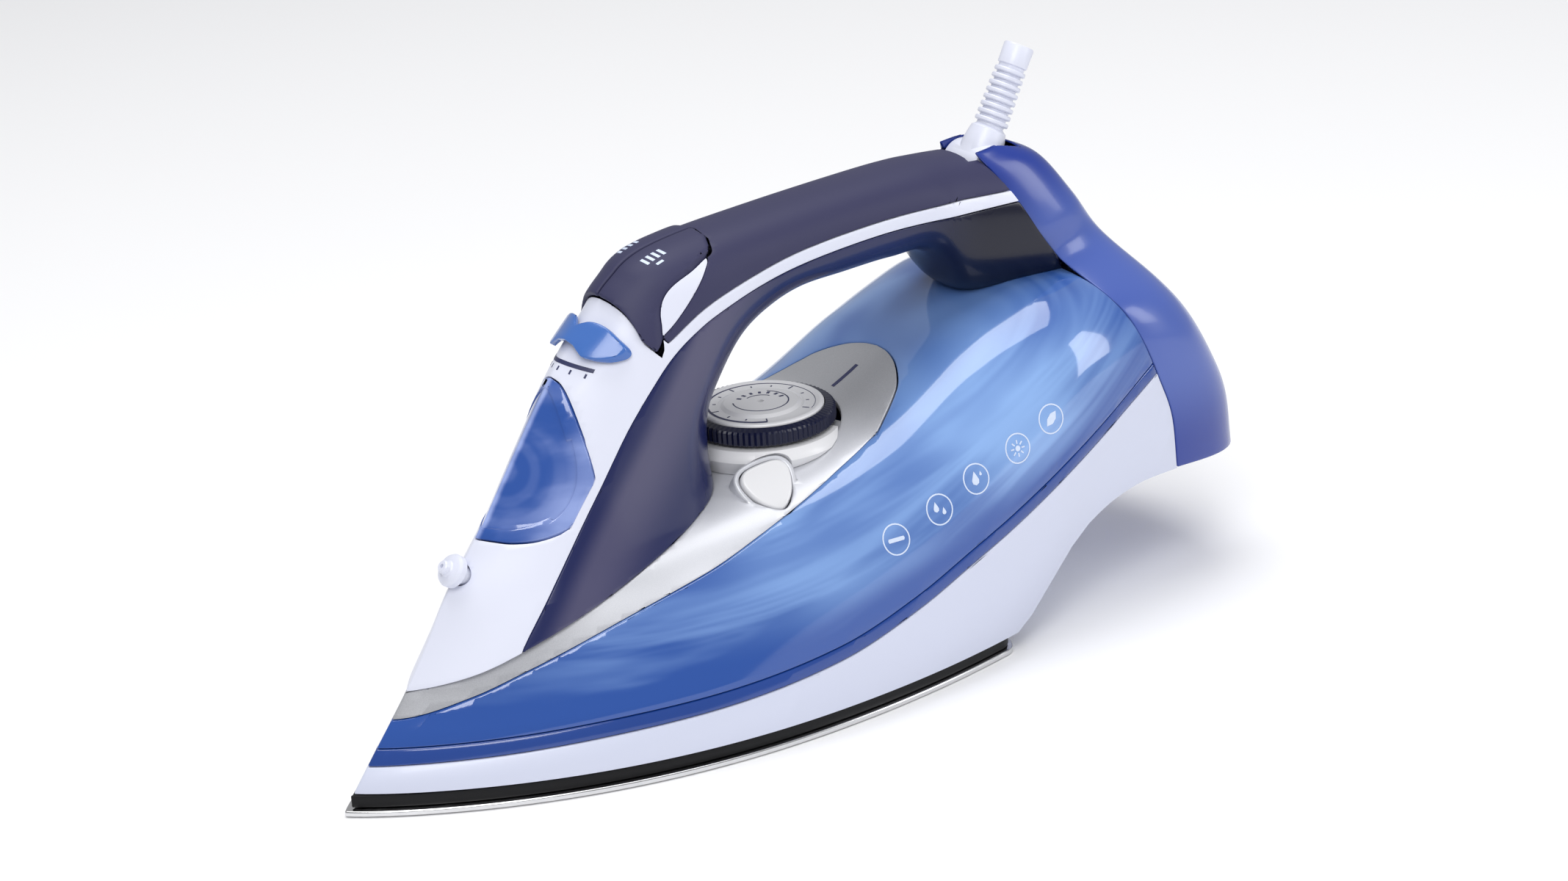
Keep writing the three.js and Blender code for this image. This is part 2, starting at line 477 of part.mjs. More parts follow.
// ---------- spray and burst buttons with their pumps ----------
const buttonCap = handleHollow.intersect(buttonZone(0));
const PUMP = { y: 7.4, bore: 2.9, wall: 4.6, floor: -27, top: -14 };
const SPRING = { radius: 2, wire: 0.4, pitch: 1.2 };   // at its pressed length
for (const [name, side] of [['spray', -1], ['burst', 1]]) {
  const half = side < 0 ? box(-90, 20, -40, -GAP, 90, 180) : box(-90, 20, GAP, 40, 90, 180);
  const stem = inFrame(rod(2.4, -17.5, 12, 0, side * PUMP.y, 0, 0, 10), buttonFrame);
  const inside = handle(1);
  place(`${name}_button`, buttonCap.intersect(half).add(stem.intersect(inside)), LOOK.grip);
  place(`${name}_pump`, inFrame(turned([[PUMP.bore, PUMP.top], [PUMP.bore, PUMP.floor + 1.5],
    [0, PUMP.floor + 1.5], [0, PUMP.floor], [PUMP.wall, PUMP.floor], [PUMP.wall, PUMP.top],
    [PUMP.bore, PUMP.top]],
  0, side * PUMP.y, 0, 0, 12), buttonFrame), LOOK.white);
  const coil = Array.from({ length: 16 }, (_, i) => [SPRING.radius * Math.cos(i * Math.PI / 3),
    side * PUMP.y + SPRING.radius * Math.sin(i * Math.PI / 3), PUMP.floor + 2.3 + i * SPRING.pitch / 6]);
  place(`${name}_spring`, inFrame(tube(coil, SPRING.wire, 24, 3), buttonFrame), LOOK.steel);
}

// ---------- inlet lid and the well under it ----------
place('inlet_lid', handleHollow.intersect(lidZone(0, -17, 30)), LOOK.blue);
const wellHole = inFrame(rod(4.5, -30, 0, 16, 0, 0), lidFrame);
place('inlet_well', handle(WALL + GAP).intersect(lidZone(-1.5, -15.6, 20)).subtract(lidZone(-3.3, -14, 20))
  .subtract(wellHole), LOOK.rim);

// ---------- steam lever, dosing valve, nozzle and tubes ----------
const WING = [[-5.5, -8], [-4.6, -11], [-3, -13.6], [0, -15.6], [2.6, -15.4], [4.2, -12.5], [5.6, -8.5],
  [5.2, -4], [2.6, 0]];
const wing = [...WING, ...WING.slice(0, -1).reverse().map(([a, b]) => [a, -b]), [-3.4, 4], [-2.8, 0],
  [-3.4, -4]];
place('steam_lever', handle(-2.7).subtract(handle(-1)).intersect(framed(wing, -20, 40, leverFrame))
  .add(inFrame(rod(2.4, -10, 3.5, 0, 0, 0), leverFrame)), LOOK.blue);
place('valve_rod', rod(2, 66.5, 106, -50, 0, 0), LOOK.brass);
place('dosing_valve', rod(4, 13.2, 65.8, -50, 0, 0), LOOK.brass);
place('spray_nozzle', inFrame(turned([[0, -7], [3, -7], [3, 1], [5, 1.4], [5, 3.8], [3.6, 4.9], [1.7, 5.1],
  [1.7, 7], [0, 7]]), nozzleFrame), LOOK.white);
const TUBE_RADIUS = 1.6;
place('spray_tube', tube([[-17.3, -7.4, 117.3], [-18.6, -7.2, 112.6], [-27, -6.8, 103], [-56, -6, 84],
  [-80, -4, 66], [-98, -1, 56], [-104, 0, 56.5]], TUBE_RADIUS, 16), LOOK.clear);
place('burst_tube', tube([[-17.3, 7.4, 117.3], [-18.6, 7.2, 112.6], [-27, 7, 103], [-36, 7, 88],
  [-38, 7, 72]], TUBE_RADIUS, 10), LOOK.clear);

// ---------- back cover, cord guard and what they hide ----------
const COVER_SQUARE = 3.6;
const COVER_ARC = 7;
function cover(inset, from, to, forward) {
  const sections = [];
  for (let i = 0; i <= COVER_STEPS; i += 1) {
    const [sx, sy, sz, rx, rz] = coverAt(from, to, i);
    const arc = [];
    for (let j = 0; j <= COVER_ARC; j += 1) {
      const a = Math.PI / 2 * j / COVER_ARC;
      const u = Math.sin(a) ** (2 / COVER_SQUARE);
      arc.push([sx - forward + (rx - inset - sx + forward) * u,
        (-sy - inset) * Math.max(0, Math.cos(a)) ** (2 / COVER_SQUARE), sz + (rz - sz) * u]);
    }
    const far = arc.map(([x, y, z]) => new THREE.Vector3(x, y, z));
    const near = arc.slice(0, -1).reverse().map(([x, y, z]) => new THREE.Vector3(x, -y, z));
    sections.push([...far, ...near]);
  }
  return lofted(sections);
}
const HEEL_SCREW = { x: 148, y: 16 };
let rear = cover(0, 0, COVER_END, 0).subtract(cover(WALL, 0.35, COVER_END - 0.15, 6))
  .subtract(swivelRoom);
for (const side of [-1, 1]) {
  rear = rear.subtract(rod(3.7, 20, 60, HEEL_SCREW.x, side * HEEL_SCREW.y, 0));
  const screw = rod(3.3, 38.2, 40.4, HEEL_SCREW.x, side * HEEL_SCREW.y, 0)
    .add(rod(1.6, 40, 52, HEEL_SCREW.x, side * HEEL_SCREW.y, 0, 0, 8));
  place(side < 0 ? 'heel_screw_left' : 'heel_screw_right', screw, LOOK.steel);
}
place('back_cover', rear, LOOK.cover);
place('terminal_block', box(134, 147, -12, 12, 54, 66), LOOK.white);
place('cord_clamp', box(116, 130, -7, 7, 92, 97), LOOK.white);
place('thermal_fuse', crossRod(1.6, 7, -20, 15.4, 8), LOOK.brass);
const guardBore = rod(3, -12, 60, GUARD.x, 0, GUARD.z, GUARD.lean);
const guardSleeve = turned([[0, 2], [7, 2], [6.8, 8], [5.6, 12], [5.2, 20], [4.9, GUARD.length],
  [0, GUARD.length]], GUARD.x, 0, GUARD.z, GUARD.lean, 16);
place('cord_guard', guardSleeve.add(crossRod(7.6, 7.8, GUARD.x, GUARD.z, 20)).subtract(guardBore),
  LOOK.white);

export default iron;
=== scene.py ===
import functools
import math
from bisect import bisect_right

import bmesh
import bpy
from mathutils import Matrix, Vector
from mathutils.bvhtree import BVHTree


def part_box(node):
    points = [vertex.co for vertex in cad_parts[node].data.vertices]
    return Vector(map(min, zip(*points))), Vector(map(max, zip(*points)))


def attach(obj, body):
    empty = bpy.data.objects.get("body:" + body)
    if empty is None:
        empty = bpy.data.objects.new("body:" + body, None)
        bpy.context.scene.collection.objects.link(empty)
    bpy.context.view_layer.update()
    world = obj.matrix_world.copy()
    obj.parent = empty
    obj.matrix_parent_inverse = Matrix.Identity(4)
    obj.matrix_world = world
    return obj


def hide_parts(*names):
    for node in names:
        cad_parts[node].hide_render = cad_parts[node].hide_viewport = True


bl_info = {
    "name": "Steam Iron Shells",
    "version": (1, 0, 0),
    "blender": (4, 5, 0),
    "location": "View3D > Sidebar > Steam Iron",
    "description": "Builds the shells, trim and finishes of a household steam iron around its working frame",
    "category": "Object",
}

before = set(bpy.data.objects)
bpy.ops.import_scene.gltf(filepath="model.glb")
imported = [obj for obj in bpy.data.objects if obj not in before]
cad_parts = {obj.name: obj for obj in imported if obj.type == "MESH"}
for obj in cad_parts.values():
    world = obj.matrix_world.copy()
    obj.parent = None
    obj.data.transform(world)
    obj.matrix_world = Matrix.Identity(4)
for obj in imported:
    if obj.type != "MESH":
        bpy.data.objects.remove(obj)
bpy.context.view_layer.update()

# ---------------------------------------------------------------------------------------------
# Sizes, in millimetres from the iron's own datum: nose towards -X, heel towards +X, +Z up.
# ---------------------------------------------------------------------------------------------
MM = 0.001
NOSE = -158.0
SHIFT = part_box("soleplate")[0].x / MM - NOSE        # from the datum to the frame's origin
SOLE_HALF_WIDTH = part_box("soleplate")[1].y / MM
SOLE_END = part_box("soleplate")[1].x / MM - SHIFT
SOLE_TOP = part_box("soleplate")[1].z / MM
SHIELD_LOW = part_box("heat_shield")[0].z / MM
SHIELD_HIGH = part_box("heat_shield")[1].z / MM
HULL_FLOOR = SHIELD_HIGH + 0.3
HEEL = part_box("back_cover")[1].x / MM - SHIFT
DIAL_X = sum(corner.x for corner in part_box("temperature_dial")) / 2 / MM - SHIFT
DIAL_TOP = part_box("temperature_dial")[1].z / MM
WIDEST_X = -5.0
WALL = 2.2
GAP = 0.3
RIM_HEIGHT = 4.5
SHOULDER = 3.6                                       # squareness of the hull's section
COVER_SQUARE = 3.6
RIDGE_TILT = math.atan2(42, 32)
BUTTON_TILT = math.pi / 4


# ---------------------------------------------------------------------------------------------
# Smooth curves
# ---------------------------------------------------------------------------------------------
def curve(rows):
    """A smooth function through rows (key, value, ...), level at turning points."""
    keys = [row[0] for row in rows]
    size = len(rows[0]) - 1
    last = len(rows) - 1
    steps = [keys[i + 1] - keys[i] for i in range(last)]
    even = max(steps) - min(steps) < 1e-6
    slopes = [[(rows[i + 1][k + 1] - rows[i][k + 1]) / steps[i] for k in range(size)] for i in range(last)]

    def tangent(i, k):
        if i in (0, last):
            return slopes[0 if i == 0 else last - 1][k]
        a, b = slopes[i - 1][k], slopes[i][k]
        if even:
            return (a + b) / 2
        return 0.0 if a * b <= 0 else 2 * a * b / (a + b)

    tangents = [[tangent(i, k) for k in range(size)] for i in range(last + 1)]

    def at(x):
        x = min(max(x, keys[0]), keys[-1])
        i = min(bisect_right(keys, x) - 1, last - 1)
        h = steps[i]
        u = (x - keys[i]) / h
        uu, uuu = u * u, u * u * u
        a, b, c, d = 2 * uuu - 3 * uu + 1, (uuu - 2 * uu + u) * h, 3 * uu - 2 * uuu, (uuu - uu) * h
        value = [a * rows[i][k + 1] + b * tangents[i][k] + c * rows[i + 1][k + 1] + d * tangents[i + 1][k]
                 for k in range(size)]
        return value[0] if size == 1 else value

    return at


def ease(share):
    share = max(0.0, min(1.0, share))
    return share * share * (3 - 2 * share)


def flowing(points, steps=8):
    """The points of a plane outline with a smooth curve carried through them."""
    rows = curve([(i, a, b) for i, (a, b) in enumerate(points)])
    count = (len(points) - 1) * steps
    return [tuple(rows(i / steps)) for i in range(count + 1)]


def moved(points, da, db):
    return [(a + da, b + db) for a, b in points]


def mirrored(points):
    return [(a, -b) for a, b in points]


# ---------------------------------------------------------------------------------------------
# The outline that everything follows
# ---------------------------------------------------------------------------------------------
def sole_half(x):
    """Half-width of the soleplate at x, carried on behind it for the heel."""
    if x <= NOSE:
        return 0.0
    if x > SOLE_END:
        return 49.4 - 0.11 * (x - SOLE_END)
    if x > WIDEST_X:
        return SOLE_HALF_WIDTH - 0.00156 * (x - WIDEST_X) ** 2
    return SOLE_HALF_WIDTH * max(0.0, 1 - ((WIDEST_X - x) / (WIDEST_X - NOSE)) ** 2.2) ** 0.9


ridge_shift = curve([(0, -1), (13, 9), (33, 25), (58, 41.5), (96, 69), (123, 90), (160, 118)])
hull_top = curve([(-160, 58), (-100, 60), (-60, 63), (-40, 67.5), (0, 75), (25, 82), (35, 86), (45, 91),
                  (55, 96), (75, 103), (92, 107), (136, 108)])
hull_floor = curve([(-160, HULL_FLOOR), (58, HULL_FLOOR), (69, 14), (80, 25.5), (91, 33.5), (104, 38),
                    (116, 39.5), (136, 38.5)])
tank_edge = curve([(-170, 12), (-149, 12.9), (-115, 14.2), (-87, 15.6), (-51, 17.4), (-14, 21.5), (16, 29.4),
                   (37, 37), (60, 45.3), (83, 55.5), (118, 72.5), (136, 82)])
band_edge = curve([(-170, 23), (-138, 25.3), (-119, 30.5), (-104, 36.2), (-75, 46.8), (-48, 54.9), (-30, 61),
                   (-3, 69.6), (13, 75), (26, 79.5), (60, 86)])
deck_edge = curve([(-170, 22), (-133, 32.2), (-117, 37), (-103, 42.6), (-84, 50), (-57, 59.8), (-39, 66.3),
                   (-25, 71.5), (-10, 100)])

# Back cover from the handle down to the heel: (row, seam x, y, z, rear x, z)
COVER_ROWS = [
    (0, 83, -9, 148.5, 96, 149.5),
    (1, 89, -15, 138, 109, 143),
    (2, 98, -19.5, 122, 120, 129),
    (3, 106, -22, 110.5, 130, 114),
    (4, 112, -40, 99, 141, 99),
    (5, 117, -45.5, 88, 150, 87),
    (6, 123, -47.2, 73, 159, 71),
    (7, 129, -46.5, 58, 165.5, 56),
    (8, 132, -44.7, 39, HEEL, 37),
]
cover_row = curve(COVER_ROWS)
COVER_END = COVER_ROWS[-1][0]

# Handle sections: (row, inner x, z, outer x, z, half-width, widest place, inner, outer squareness, power)
HANDLE_ROWS = [
    (0, -30, 50, -142, 20, 28, 0.46, 2.6, 2.2, 0.9),
    (1, -25, 64, -126, 43, 26, 0.45, 2.6, 2.2, 0.9),
    (2, -24, 71, -117, 57.5, 23.5, 0.43, 2.6, 2.2, 0.9),
    (3, -25, 82, -104, 74, 21.5, 0.42, 2.6, 2.2, 0.9),
    (4, -24, 95, -90, 94, 20.5, 0.42, 2.6, 2.2, 0.85),
    (5, -17, 106, -75, 114, 19.5, 0.45, 2.6, 2.2, 0.75),
    (6, -8, 114, -57.5, 131, 18.5, 0.5, 2.4, 2.3, 0.55),
    (7, 3, 119, -47, 142.5, 17.5, 0.5, 2.4, 2.4, 0.44),
    (8, 15, 121.8, -28, 146.5, 16.5, 0.5, 2.4, 2.4, 0.42),
    (9, 30, 122, 5, 148.5, 16, 0.5, 2.4, 2.4, 0.42),
    (10, 48, 122, 40, 149.5, 16, 0.5, 2.4, 2.4, 0.42),
    (11, 64, 120, 60, 149.5, 16.5, 0.5, 2.4, 2.4, 0.42),
    (12, 77, 104, 71, 149, 18, 0.45, 2.4, 2.4, 0.42),
    (13, 108, 97, 84, 147.5, 21, 0.42, 2.4, 2.4, 0.42),
    (14, 122, 94, 97, 146.5, 22, 0.42, 2.4, 2.4, 0.42),
]
handle_row = curve(HANDLE_ROWS)

# Parting lines on the handle, side view (x, z)
CONE_EDGE = [(-106, 38), (-104, 43.5), (-89, 62), (-75, 80), (-61, 99), (-48.6, 112.3), (-40.9, 118.7)]
STRIPE_LOW = [(-33, 123), (-25, 126), (-9, 130), (11, 133), (41, 134.4), (68, 133.4), (92, 133.2),
              (140, 132.5)]
STRIPE_HIGH = [(-43.5, 121.9), (-29, 129.2), (-9, 134.2), (11, 137.3), (41, 138.6), (68, 137.9), (90, 136.9),
               (140, 136)]
GRIP_FRONT = [(-45.2, 123.7), (-40.3, 127), (-34.1, 132.3), (-26.8, 139.3), (-24.4, 142.6), (-28, 147)]


def hull_point(station, angle, inset=0.0, floor=hull_floor):
    """A point of the hull: station runs along the sole's outline, angle climbs from side to top."""
    rise = math.sin(angle) ** (2 / SHOULDER)
    low, high = -5.0, 125.0
    for _ in range(24):
        z = (low + high) / 2
        x = station + inset + ridge_shift(z)
        foot = floor(x)
        if z < foot + (hull_top(x) - inset - foot) * rise:
            low = z
        else:
            high = z
    out = max(sole_half(station) - inset, 0.0) * max(math.cos(angle), 0.0) ** (2 / SHOULDER)
    return x, out, z


def hull_side(x, z):
    """How far out the hull's side stands at x and z."""
    foot = hull_floor(x)
    rise = min(max((z - foot) / (hull_top(x) - foot), 0.0), 1.0)
    return sole_half(x - ridge_shift(z)) * (1 - rise ** SHOULDER) ** (1 / SHOULDER)


def handle_point(row, turn, inset=0.0):
    """A point of the handle: row runs from the nose to the heel, turn from its inner to its outer line."""
    ix, iz, ox, oz, half, widest, in_square, out_square, power = handle_row(row)
    length = math.hypot(ox - ix, oz - iz)
    dx, dz = (ox - ix) / length, (oz - iz) / length
    nose_inset = inset * (1 + 1.2 * max(0.0, min(1.0, 6 - row)))
    share = (1 - math.cos(math.pi * turn)) / 2
    along = inset + share * (length - inset - nose_inset)
    if share < widest:
        out = max(0.0, 1 - ((widest - share) / widest) ** in_square) ** (1 / in_square)
    else:
        out = max(0.0, 1 - ((share - widest) / (1 - widest)) ** out_square) ** power
    return ix + dx * along, (half - inset) * out, iz + dz * along


# ---------------------------------------------------------------------------------------------
# Solids
# ---------------------------------------------------------------------------------------------
def as_object(name, bm):
    """Turns a closed bmesh into an object with its faces pointing out."""
    bmesh.ops.recalc_face_normals(bm, faces=bm.faces)
    mesh = bpy.data.meshes.new(name)
    bm.to_mesh(mesh)
    bm.free()
    piece = bpy.data.objects.new(name, mesh)
    bpy.context.scene.collection.objects.link(piece)
    return piece


def discard(piece):
    mesh = piece.data
    bpy.data.objects.remove(piece)
    bpy.data.meshes.remove(mesh)


def twin(piece, name="twin"):
    other = bpy.data.objects.new(name, piece.data.copy())
    bpy.context.scene.collection.objects.link(other)
    return other


def combine(piece, tools, operation):
    """Cuts, joins or overlaps a piece with its tools, which are used up."""
    for tool in tools:
        change = piece.modifiers.new(operation, "BOOLEAN")
        change.operation = operation
        change.solver = "MANIFOLD"
        change.object = tool
        graph = bpy.context.evaluated_depsgraph_get()
        graph.update()
        mesh = bpy.data.meshes.new_from_object(piece.evaluated_get(graph))
        piece.modifiers.clear()
        old = piece.data
        piece.data = mesh
        bpy.data.meshes.remove(old)
        if not mesh.polygons:
            raise RuntimeError(f"{piece.name}: nothing is left after {operation} with {tool.name}")
        discard(tool)
    return piece


def less(piece, *tools):
    return combine(piece, tools, "DIFFERENCE")


def both(piece, *tools):
    return combine(piece, tools, "INTERSECT")


def plus(piece, *tools):
    return combine(piece, tools, "UNION")


def lofted(name, rings):
    """A closed skin over rings of points, with its ends filled."""
    rows, columns = len(rings) - 1, len(rings[0])
    bm = bmesh.new()
    bmesh.ops.create_grid(bm, x_segments=rows, y_segments=columns, size=0.5)
    for vert in bm.verts:
        row = round((vert.co.x + 0.5) * rows)
        column = round((vert.co.y + 0.5) * columns) % columns
        vert.co = rings[row][column]
    bmesh.ops.remove_doubles(bm, verts=bm.verts, dist=1e-4)
    bmesh.ops.holes_fill(bm, edges=[edge for edge in bm.edges if edge.is_boundary], sides=0)
    return as_object(name, bm)


def prism(points, low, high, place=None):
    """A flat outline given a thickness, then put in place by a matrix."""
    bm = bmesh.new()
    face = bm.faces.new([bm.verts.new((a, b, low)) for a, b in points])
    raised = [item for item in bmesh.ops.extrude_face_region(bm, geom=[face])["geom"]
              if isinstance(item, bmesh.types.BMVert)]
    bmesh.ops.translate(bm, vec=(0, 0, high - low), verts=raised)
    if place is not None:
        bmesh.ops.transform(bm, matrix=place, verts=bm.verts)
    return as_object("prism", bm)


SIDE_VIEW = Matrix(((1, 0, 0, 0), (0, 0, -1, 0), (0, 1, 0, 0), (0, 0, 0, 1)))


def side_prism(points):
    return prism(points, -100, 100, SIDE_VIEW)


FAR_FRONT, FAR_BACK = -170, 180                      # beyond the iron's two ends
FAR_BELOW, FAR_ABOVE = -60, 260
TRACE_STEP = 3


def trace(edge, offset, start=FAR_FRONT, end=FAR_BACK):
    """Points along an edge curve, moved up or down by an offset."""
    count = round((end - start) / TRACE_STEP)
    stations = [start + (end - start) * i / count for i in range(count + 1)]
    return [(x, edge(x) + offset) for x in stations]


def above(edge, offset):
    """Everything over an edge curve."""
    return side_prism([*trace(edge, offset), (FAR_BACK, FAR_ABOVE), (FAR_FRONT, FAR_ABOVE)])


def below(edge, offset, start=FAR_FRONT, end=FAR_BACK):
    """Everything under an edge curve."""
    return side_prism([(start, FAR_BELOW), (end, FAR_BELOW), *reversed(trace(edge, offset, start, end))])


def turned(profile, place=None, segments=64):
    """A profile of (radius, height) points spun about the Z axis."""
    bm = bmesh.new()
    verts = [bm.verts.new((r, 0, h)) for r, h in profile]
    closed = profile[0][0] > 0
    pairs = list(zip(verts, verts[1:])) + ([(verts[-1], verts[0])] if closed else [])
    edges = [bm.edges.new(pair) for pair in pairs]
    bmesh.ops.spin(bm, geom=verts + edges, cent=(0, 0, 0), axis=(0, 0, 1), dvec=(0, 0, 0),
                   angle=2 * math.pi, steps=segments, use_merge=True, use_duplicate=False)
    bmesh.ops.remove_doubles(bm, verts=bm.verts, dist=1e-4)
    if place is not None:
        bmesh.ops.transform(bm, matrix=place, verts=bm.verts)
    return as_object("turned", bm)


def rod(radius, low, high, place=None, segments=32):
    return turned([(0, low), (radius, low), (radius, high), (0, high)], place, segments)


def cross_rod(radius, half, x, z):
    """A round bar lying across the iron."""
    place = Matrix.Translation((x, 0, z)) @ Matrix.Rotation(math.pi / 2, 4, "X")
    return rod(radius, -half, half, place, 48)


def block(x0, x1, y0, y1, z0, z1):
    return prism([(x0, y0), (x1, y0), (x1, y1), (x0, y1)], z0, z1)


def tilted(x, z, angle):
    """A frame on the centre plane, its X along the slope and its Z standing out of it."""
    c, s = math.cos(angle), math.sin(angle)
    return Matrix(((c, 0, -s, x), (0, 1, 0, 0), (s, 0, c, z), (0, 0, 0, 1)))


def rolled(x, y, z, roll, pitch):
    return Matrix.Translation((x, y, z)) @ Matrix.Rotation(roll, 4, "X") @ Matrix.Rotation(pitch, 4, "Y")


def at(x, y, z, lean=0.0):
    return Matrix.Translation((x, y, z)) @ Matrix.Rotation(lean, 4, "Y")


def grown(points, by):
    return [(a * (1 + by / math.hypot(a, b)), b * (1 + by / math.hypot(a, b))) for a, b in points]


def circle(radius, count):
    return [(radius * math.cos(2 * math.pi * i / count), radius * math.sin(2 * math.pi * i / count))
            for i in range(count)]


# ---------------------------------------------------------------------------------------------
# Master solids, made once
# ---------------------------------------------------------------------------------------------
VALVE_X = -50
DIAL_PLACE = at(DIAL_X, 0, 0)
HULL_ROWS = 110
HULL_ARC = 26
HANDLE_STEPS = 10
HANDLE_ARC = 34
COVER_STEPS = 72
COVER_ARC = 20


MASTERS = []


def kept(piece):
    """Holds a solid that is only ever copied, until the whole iron is built."""
    piece.hide_render = True
    MASTERS.append(piece)
    return piece


def drop_masters():
    for maker in (hull_master, handle_master):
        maker.cache_clear()
    while MASTERS:
        discard(MASTERS.pop())


def inner_floor(x):
    return 0.0 if x < SOLE_END + 2 else hull_floor(x) + WALL


@functools.cache
def hull_master(inset, open_floor=False):
    """The hull's outer form, or the same form shrunk by inset."""
    floor = inner_floor if open_floor else hull_floor
    start, end = NOSE, 120.0
    if inset > 0:
        low, high = NOSE, WIDEST_X
        for _ in range(30):
            middle = (low + high) / 2
            low, high = (middle, high) if sole_half(middle) < inset else (low, middle)
        start = high
    rings = []
    for i in range(HULL_ROWS + 1):
        station = start + (end - start) * (i / HULL_ROWS) ** 1.5
        side = [hull_point(station, math.pi / 2 * j / HULL_ARC, inset, floor) for j in range(HULL_ARC + 1)]
        if i == 0:
            side = [(x, 0.0, z) for x, y, z in side]
        far = [(x, 0.0 if j == HULL_ARC else y, z) for j, (x, y, z) in enumerate(side)]
        near = [(x, -y, z) for x, y, z in reversed(far[:-1])]
        rings.append(far + near)
    return kept(lofted("hull", rings))


def hull(inset=0.0, open_floor=False):
    return twin(hull_master(inset, open_floor), "hull")


def hull_shell():
    return less(hull(), hull(WALL, True))


@functools.cache
def handle_master(inset):
    rings = []
    last = HANDLE_ROWS[-1][0] * HANDLE_STEPS
    for i in range(last + 1):
        side = [handle_point(i / HANDLE_STEPS, j / HANDLE_ARC, inset) for j in range(HANDLE_ARC + 1)]
        far = [(x, 0.0 if j in (0, HANDLE_ARC) else y, z) for j, (x, y, z) in enumerate(side)]
        near = [(x, -y, z) for x, y, z in reversed(far[1:-1])]
        rings.append(far + near)
    return kept(lofted("handle", rings))


def handle(inset=0.0):
    return twin(handle_master(inset), "handle")


def handle_shell():
    return less(handle(), handle(WALL))


SEAM = [(81, 154)] + [(x, z) for x, _, z, _, _ in (cover_row(COVER_END * i / 60) for i in range(61))]


def front_of_seam(offset=GAP):
    line = [(x - offset, z) for x, z in reversed(SEAM)]
    return side_prism([(-175, -20), (133 - offset, -20), *line, (78, 200), (-175, 200)])


def over_deck():
    """Everything above the deck under the handle and clear of the tank's top behind it."""
    zone = side_prism([*trace(deck_edge, GAP, FAR_FRONT, -26), (-26, 71.8), (60, 73), (200, 73),
                       (200, FAR_ABOVE), (FAR_FRONT, FAR_ABOVE)])
    return less(both(zone, front_of_seam()), both(hull(-GAP), block(30, 200, -90, 90, 0, 200)))


# ---------------------------------------------------------------------------------------------
# Thin printed shapes
# ---------------------------------------------------------------------------------------------
PRINT_LIFT = 0.09
PRINT_DEPTH = 0.07
DROP_HEIGHT = 60


def bar(a, b, length, width):
    """The outline of a straight bar, from its corner at a, b."""
    return [(a, b), (a + length, b), (a + length, b + width), (a, b + width)]


def joined(pieces):
    bm = bmesh.new()
    for piece in pieces:
        bm.from_mesh(piece.data)
        discard(piece)
    return as_object("joined", bm)


def laid_on(piece, outlines, place, cell=0.9):
    """Flat outlines dropped onto a piece along a frame's Z, as a thin raised print."""
    tree = BVHTree.FromPolygons([vert.co for vert in piece.data.vertices],
                                [face.vertices[:] for face in piece.data.polygons])
    into = place.to_3x3() @ Vector((0, 0, -1))
    prints = bmesh.new()
    for outline in outlines:
        bm = bmesh.new()
        face = bm.faces.new([bm.verts.new((a, b, 0)) for a, b in outline])
        low = [min(p[k] for p in outline) for k in (0, 1)]
        high = [max(p[k] for p in outline) for k in (0, 1)]
        for k, way in ((0, (1, 0, 0)), (1, (0, 1, 0))):
            cut = low[k] + cell
            while cut < high[k]:
                point = (cut, 0, 0) if k == 0 else (0, cut, 0)
                bmesh.ops.bisect_plane(bm, geom=bm.verts[:] + bm.edges[:] + bm.faces[:], dist=1e-5,
                                       plane_co=point, plane_no=way)
                cut += cell
        for vert in bm.verts:
            start = place @ Vector((vert.co.x, vert.co.y, DROP_HEIGHT))
            hit = tree.ray_cast(start, into)[0]
            if hit is None:
                raise RuntimeError(f"{piece.name}: a printed shape misses it")
            vert.co = hit - into * PRINT_LIFT
        flat = bpy.data.meshes.new("flat")
        bm.to_mesh(flat)
        bm.free()
        prints.from_mesh(flat)
        bpy.data.meshes.remove(flat)
    bmesh.ops.remove_doubles(prints, verts=prints.verts, dist=0.01)
    for face in prints.faces:
        if face.normal.dot(into) > 0:
            face.normal_flip()
    bmesh.ops.solidify(prints, geom=prints.faces, thickness=PRINT_DEPTH)
    return as_object("prints", prints)


# ---------------------------------------------------------------------------------------------
# Finishing a piece
# ---------------------------------------------------------------------------------------------
SMOOTH_LIMIT = math.radians(32)                      # edges turning more than this are drawn sharp
BEVEL_LIMIT = math.radians(38)                       # and more than this are rounded


def soften(piece, width=0.35, segments=2):
    """Rounds the sharp edges that cutting has left, and keeps the rounding close to the old surface."""
    tree = BVHTree.FromPolygons([vert.co for vert in piece.data.vertices],
                                [face.vertices[:] for face in piece.data.polygons])
    bm = bmesh.new()
    bm.from_mesh(piece.data)
    bmesh.ops.remove_doubles(bm, verts=bm.verts, dist=0.05)
    bmesh.ops.dissolve_degenerate(bm, edges=bm.edges, dist=0.02)
    sharp = [e for e in bm.edges if e.is_manifold and e.calc_face_angle() > BEVEL_LIMIT]
    bmesh.ops.bevel(bm, geom=sharp, offset=width, segments=segments, profile=0.5, affect="EDGES",
                    material=-1, clamp_overlap=False)
    for vert in bm.verts:
        nearest, _, _, distance = tree.find_nearest(vert.co)
        if distance > width * 0.55:
            vert.co = nearest
    bmesh.ops.dissolve_degenerate(bm, edges=bm.edges, dist=0.01)
    bm.to_mesh(piece.data)
    bm.free()
    return piece


